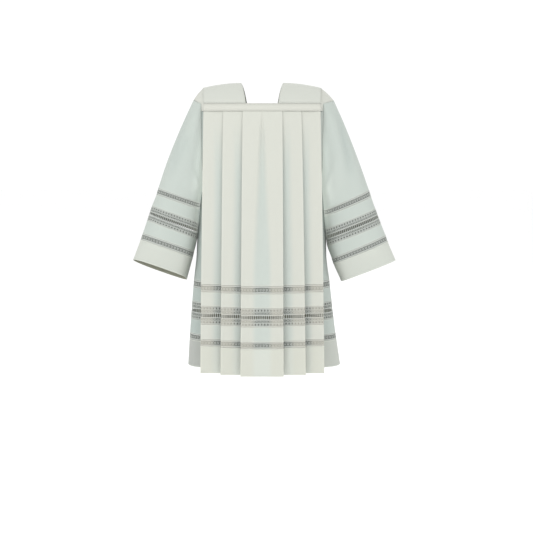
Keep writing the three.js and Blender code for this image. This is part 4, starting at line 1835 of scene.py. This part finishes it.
@dataclass
class YokePart:
    """The shoulder pieces, the bands with their top stitching, and the caps."""

    garment: Garment
    shoulder_rows: int = 33
    shoulder_columns: int = 25
    # A shoulder's backing below 1 gives it a cooler tone, partly a painted shade.
    shoulder_backing: float = 0.45
    band_rows: int = 29
    band_columns: int = 73
    band_backing: float = 1.0
    band_puff: float = 0.5
    groove: float = 0.35
    groove_width: float = 1.3
    stitches_out: float = 0.45
    stitches_tilt: float = 0.05
    cap_rows: int = 41
    cap_end_rows: int = 6
    cap_under_points: int = 5
    cap_drop_points: int = 9
    cap_bulge: float = 2.2
    # A cap's backing below 1 gives it a cooler tone, partly a painted shade.
    cap_backing: float = 0.7

    @staticmethod
    def sheet(points: np.ndarray, side: Side, backing: float) -> Surface:
        """The surface of a piece made for the left side, measured down its middle.

        Args:
            points: Rows by columns by 3, in millimetres.
            side: The side that it is for.
            backing: How far it lies on another layer.

        Returns:
            The surface.
        """
        points = points * (side.sign, 1, 1)
        if side is Side.RIGHT:
            points = points[:, ::-1]
        length = measured(points[:, points.shape[1] // 2])
        return Surface(points, length, backing=np.full(points.shape[:2], backing))

    def shoulder(self, side: Side) -> Surface:
        """The surface of a shoulder piece, from the back band over the ridge to the front one.

        Args:
            side: Which side.

        Returns:
            The surface.
        """
        share = np.linspace(1, -1, self.shoulder_rows)[:, None]
        neck = mix(YOKE.neck_at_ridge, YOKE.neck_at_band, np.abs(share))
        outer = mix(YOKE.outer_at_ridge, YOKE.outer_at_band, np.abs(share))
        x = mix(neck, outer, np.linspace(0, 1, self.shoulder_columns)[None, :])
        front, back = (YOKE.depth(x, face) - YOKE.band_lean for face in Face)
        y = share * np.where(share < 0, front, back)
        points = np.stack([x, y, YOKE.height(x, share)], axis=2)
        return self.sheet(points, side, self.shoulder_backing)

    def band(self, face: Face) -> Surface:
        """The surface of a band.

        Args:
            face: Which band.

        Returns:
            The surface.
        """
        x = np.linspace(-YOKE.band_half, YOKE.band_half, self.band_columns)
        z = np.linspace(YOKE.band_top, YOKE.band_bottom, self.band_rows)[:, None]
        y = face.sign * (YOKE.depth(x[None, :], face) - YOKE.lean(z))
        points = np.stack([np.broadcast_to(x, y.shape), y, np.broadcast_to(z, y.shape)], axis=2)
        if face is Face.BACK:
            points = points[:, ::-1]
        return Surface(points, -z[:, 0], backing=np.full(points.shape[:2], self.band_backing))

    def band_relief(self, across: np.ndarray, down: np.ndarray) -> np.ndarray:
        """Raises the band between its stitch lines and sinks it along them.

        Args:
            across: Places across the band, which all read the same.
            down: Places down it, in millimetres.

        Returns:
            How far it is raised at each place.
        """
        upper, lower = (-z for z in YOKE.stitch_lines)
        puff = self.band_puff * np.sin(math.pi * np.clip((down - upper) / (lower - upper), 0, 1))
        grooves = sum(np.exp(-(((down - line) / self.groove_width) ** 2)) for line in (upper, lower))
        return puff - self.groove * grooves

    def cap(self, side: Side) -> Surface:
        """The surface of a cap, from behind the back band round the armhole to the front one.

        Args:
            side: Which side.

        Returns:
            The surface.
        """
        cap = CAPS[side]
        share = np.linspace(-1, 1, self.cap_rows)
        edge = mix(YOKE.outer_at_ridge, YOKE.outer_at_band, np.abs(share))
        rows = [self.cap_row(cap, *place) for place in zip(share, edge, cap.arc(share))]
        front = self.cap_end(cap, rows[0], Face.FRONT)
        back = self.cap_end(cap, rows[-1], Face.BACK)
        points = np.concatenate([front[::-1], rows[1:-1], back])[::-1]
        return self.sheet(points, side, self.cap_backing)

    def cap_row(self, cap: Cap, share: float, edge: float, outer: np.ndarray) -> np.ndarray:
        """A row of a cap, from under the shoulder's edge out to the sleeve.

        Args:
            cap: The cap's sizes.
            share: The place round the armhole, from -1 at the front to 1 at the back.
            edge: Where the shoulder's edge is.
            outer: The row's outer end.

        Returns:
            The row's points, for the left side.
        """
        face = Face.FRONT if share < 0 else Face.BACK
        below = cap.under * (1 + cap.under_slope * abs(share))
        line = []
        for x in np.linspace(edge - cap.lap, edge - cap.edge, self.cap_under_points):
            seat = abs(outer[1]) / (YOKE.depth(x, face) - YOKE.band_lean)
            line.append((x, outer[1], YOKE.height(x, seat) - below))
        start = np.array(line[-1])
        for t in np.linspace(0, 1, self.cap_drop_points)[1:]:
            bulge = 4 * t * (1 - t) * self.cap_bulge * (1 - share**2)
            line.append(mix(start, outer, t) + (0.5 * bulge, 0, bulge))
        return np.array(line)

    def cap_end(self, cap: Cap, row: np.ndarray, face: Face) -> np.ndarray:
        """The rows at an end of a cap, which drop behind a band.

        Args:
            cap: The cap's sizes.
            row: The cap's last row at that end.
            face: Which end.

        Returns:
            The rows' points, from the top down.
        """
        x = row[:, 0]
        inner = x[self.cap_under_points - 1]
        reach = eased((x - inner) / (cap.armhole_x - inner))
        rows = []
        for z in np.linspace(cap.corner_z, PANEL_TOP + SEAM_GAP, self.cap_end_rows):
            behind = YOKE.depth(x, face) - YOKE.lean(z) - cap.behind_band
            y = face.sign * mix(behind, cap.corner_depth, reach)
            rows.append(np.stack([x, y, np.full(len(x), z)], axis=1))
        return np.array(rows)

    def build(self) -> None:
        """Makes every piece of the yoke."""
        dressing = self.garment.dressing
        finishes = (dressing.cloth[Slot.YOKE], dressing.inside)
        for side in Side:
            for name, surface, thickness, rest in (
                ("shoulder", self.shoulder(side), DOUBLE_THICKNESS, "yoke_band_front"),
                ("shoulder_cap", self.cap(side), CLOTH_THICKNESS, f"shoulder_{side.value}"),
            ):
                node = f"{name}_{side.value}"
                length = float(surface.downs[-1])
                piece = surface.cloth(f"{node}_cloth", 0, length)
                hand_over(thickened(piece, thickness, *finishes), Slot.YOKE, [node])
                declare(piece, surface.width, length, Held.DRAPED, rest)
        top, bottom = -YOKE.band_top, -YOKE.band_bottom
        for face in Face:
            surface = self.band(face)
            node = f"yoke_band_{face.value}"
            piece = surface.cloth(f"{node}_cloth", top, bottom, relief=self.band_relief)
            hand_over(thickened(piece, DOUBLE_THICKNESS, *finishes), Slot.YOKE, [node])
            declare(piece, surface.width, bottom - top, Held.HUNG, "shoulder_right")
            sewing = self.garment.threads(surface, dressing.sewing)
            for z in YOKE.stitch_lines:
                sewing.lay(STITCH, -z, out=self.stitches_out, tilt=self.stitches_tilt)
            hand_over(sewing.piece(f"yoke_stitches_{face.value}"), Slot.YOKE, [])


@dataclass(frozen=True)
class GlowBesideBody:
    """Where a painted glow lifts the shade on a sleeve beside the body, and how much."""

    light: float = 0.9
    clear: float = 2
    reach: float = 18
    widening: float = 0.117
    widens_from: float = 135
    least: float = 12
    most: float = 50
    power: float = 1.4
    starts: float = 60
    starts_over: float = 220
    ends: float = 440
    ends_over: float = 130

    def at(self, points: np.ndarray) -> np.ndarray:
        """The painted glow at each point of a sleeve's grid.

        Args:
            points: Rows by columns by 3, in millimetres.

        Returns:
            The painted glow, one row for each row of points.
        """
        down = -points[:, :, 2]
        reach = np.clip(self.reach + self.widening * (down - self.widens_from), self.least, self.most)
        out = np.abs(points[:, :, 0]) - ARMHOLE_X - self.clear
        near = (1 - eased(out / reach)) ** self.power
        begun = eased((down - self.starts) / self.starts_over)
        ended = eased((down - self.ends) / self.ends_over)
        return self.light * (near * begun * (1 - ended))


@dataclass
class Sleeve:
    """A wide sleeve with its lace and its turned cuff."""

    side: Side
    garment: Garment
    steps_down: int = 100
    # A backing below 0 gives the whole sleeve a painted shade.
    backing: float = -0.22
    crease_painted_shade: float = 0.06
    crease_power: float = 6
    sway: float = 8
    sway_ease: float = 0.38
    back_ease: float = 0.06
    glow_beside_body: GlowBesideBody = GlowBesideBody()

    def armhole(self, around: np.ndarray, face: Face) -> np.ndarray:
        """Points of half the armhole, for the left side.

        Args:
            around: Places round the half, from 0 at its top to 8 at its foot.
            face: Which half.

        Returns:
            The points.
        """
        cap = CAPS[self.side]
        arc = cap.arc(np.array([0, 0.625, 1]))
        edge = np.array([(cap.armhole_x, depth, z) for z, depth in CHEST_EDGE])
        corners = np.concatenate([arc, edge]) * (1, face.sign, 1)
        corners[:, 0] += ARMHOLE_X - cap.armhole_x
        return smooth_profile(np.arange(len(corners)), corners, around)

    def surface(self) -> tuple[Surface, dict[str, float]]:
        """Works out the sleeve's smooth surface and where its rings lie down the cloth.

        Returns:
            The surface, and the rings' places by name.
        """
        rings = SLEEVE_RINGS[self.side]
        around = np.linspace(0, HALF_RING, FINE.ring_columns // 2 + 1)
        lines = []
        for half in (self.armhole, *(ring.half for ring in rings)):
            front, back = half(around, Face.FRONT), half(around, Face.BACK)
            lines.append(np.concatenate([front, back[:1:-1], front[:1]]))
        lines = np.array(lines)
        signed = np.concatenate([-around, around[:1:-1], [0]])
        downs = measured(lines[:, 0])
        places = dict(zip(["armhole", *[r.name for r in rings]], downs))
        levels = np.unique(np.concatenate([np.linspace(0, downs[-1], self.steps_down), downs]))
        flat = smooth_profile(downs, lines.reshape(len(lines), -1), levels)
        points = flat.reshape(len(levels), -1, 3)
        normals = Surface(points, levels, closed=True).normals
        raised = crease_height(SLEEVE_CREASES[self.side], signed[None, :], levels[:, None])
        raised *= 1 - np.abs(np.abs(signed) / HALF_RING * 2 - 1) ** self.crease_power
        points = points - normals * raised[:, :, None]
        points[:, :, 0] *= self.side.sign
        # The creases add a painted shade where their height is below 0 and a painted highlight where it
        # is above.
        backing = self.backing + self.crease_painted_shade * raised
        if self.side is Side.LEFT:
            points = points[:, ::-1]
            backing = backing[:, ::-1]
        # A painted glow lifts the shade on the sleeve beside the body.
        light = self.glow_beside_body.at(points)
        made = Surface(points, levels, closed=True, backing=backing, light=light)
        made.sway = lambda across, down: self.ladder_sway(across / made.width, down, places)
        return made, places

    def ladder_sway(self, share: np.ndarray, down: np.ndarray, places: dict[str, float]) -> np.ndarray:
        """How far the wide lace sways down the cloth at the back, so that its ladder isn't level.

        Args:
            share: Places round the sleeve, from 0 to 1.
            down: Places down the cloth, in millimetres.
            places: Where the rings lie down the cloth.

        Returns:
            The sway at each place, in millimetres, none outside the wide lace.
        """
        round_back = 2 * share if self.side is Side.LEFT else 2 * share - 1
        at_back = eased(np.minimum(round_back, 1 - round_back) / self.back_ease)
        along = (down - places["ladder"]) / (places["lower strip"] - places["ladder"])
        in_lace = eased(np.minimum(along, 1 - along) / self.sway_ease)
        return -self.side.sign * self.sway * at_back * in_lace

    def build(self) -> None:
        """Makes every piece of the sleeve."""
        surface, places = self.surface()
        above = f"shoulder_cap_{self.side.value}"
        for name, start, end, slot in SLEEVE_PIECES:
            node = f"{name}_{self.side.value}"
            band = Band(name, places[start], places[end], slot, ladder=start == "ladder")
            nodes = [f"{node}_{face.value}" for face in Face] if band.ladder else [node]
            piece, worked = self.garment.band(surface, node, band)
            hand_over(piece, slot, nodes)
            length = band.bottom - band.top
            area = surface.area(band.top, band.bottom)
            widest = max(surface.width, area / length)
            declare(piece, widest, length, Held.HUNG, above, worked)
            above = nodes[0]
        name = f"cuff_stitches_{self.side.value}"
        self.garment.sew_edge(surface, name, places["cuff"], places["cuff edge"])


# The studio


@dataclass(frozen=True)
class Softbox:
    """A soft light: where it stands, what it faces, its size and its power."""

    name: str
    place: tuple[float, float, float]
    target: tuple[float, float, float]
    width: float
    height: float
    power: float
    colour: tuple[float, float, float] = (1, 1, 1)

    def build(self) -> None:
        """Makes the light."""
        light = bpy.data.lights.new(self.name, "AREA")
        light.shape = "RECTANGLE"
        light.size = self.width
        light.size_y = self.height
        light.energy = self.power
        light.color = self.colour
        made = bpy.data.objects.new(self.name, light)
        bpy.context.scene.collection.objects.link(made)
        made.location = self.place
        direction = Vector(self.target) - Vector(self.place)
        made.rotation_euler = direction.to_track_quat("-Z", "Y").to_euler()


@dataclass(frozen=True)
class Studio:
    """The camera, the lights and the floor."""

    camera_place: tuple[float, float, float] = (0.0153, -3.6, -0.1049)
    tilt: float = math.radians(8.48)
    lens: float = 67.35
    sensor: float = 36
    floor_z: float = -1.36
    floor_half: float = 14
    world: tuple[float, float, float] = (1.0, 1.0, 1.0)
    world_strength: float = 1.04
    softboxes: tuple[Softbox, ...] = (
        Softbox("key", (-2.6, -2.9, 1.2), (0, 0, -0.45), 1.8, 1.8, 52),
        Softbox("fill", (2.6, -2.9, 0.8), (0, 0, -0.5), 2.0, 2.0, 36),
        Softbox("back", (0.4, 3.2, 1.6), (0, 0, -0.5), 2.4, 2.0, 32),
    )

    def build(self) -> None:
        """Makes the camera, the lights, the floor and the pale surroundings."""
        scene = bpy.context.scene
        scene.view_settings.view_transform = "Standard"
        camera = bpy.data.objects.new("camera", bpy.data.cameras.new("camera"))
        camera.data.lens = self.lens
        camera.data.sensor_width = self.sensor
        camera.location = self.camera_place
        camera.rotation_euler = (math.pi / 2 - self.tilt, 0, 0)
        scene.collection.objects.link(camera)
        scene.camera = camera
        for softbox in self.softboxes:
            softbox.build()
        world = bpy.data.worlds.new("pale")
        world.use_nodes = True
        desk = NodeDesk(world.node_tree)
        light = {"Color": (*self.world, 1), "Strength": self.world_strength}
        glow = desk.make("ShaderNodeBackground", values=light)
        desk.make("ShaderNodeOutputWorld", values={"Surface": glow})
        scene.world = world
        half = self.floor_half
        corners = np.array([(-half, -half, 0), (half, -half, 0), (half, half, 0), (-half, half, 0)])
        floor = mesh_piece("floor", corners + (0, 0, self.floor_z), np.array([(0, 1, 2, 3)]))
        floor.data.materials.append(FloorFinish().material())


def main() -> None:
    """Builds the studio and then the garment, from the yoke down."""
    logging.basicConfig(level=logging.INFO, format="%(message)s")
    Studio().build()
    garment = Garment()
    YokePart(garment).build()
    for face in Face:
        BodyPanel(face, garment).build()
    for side in Side:
        Sleeve(side, garment).build()
    garment.repeater.clear()


if __name__ == "__main__":
    main()
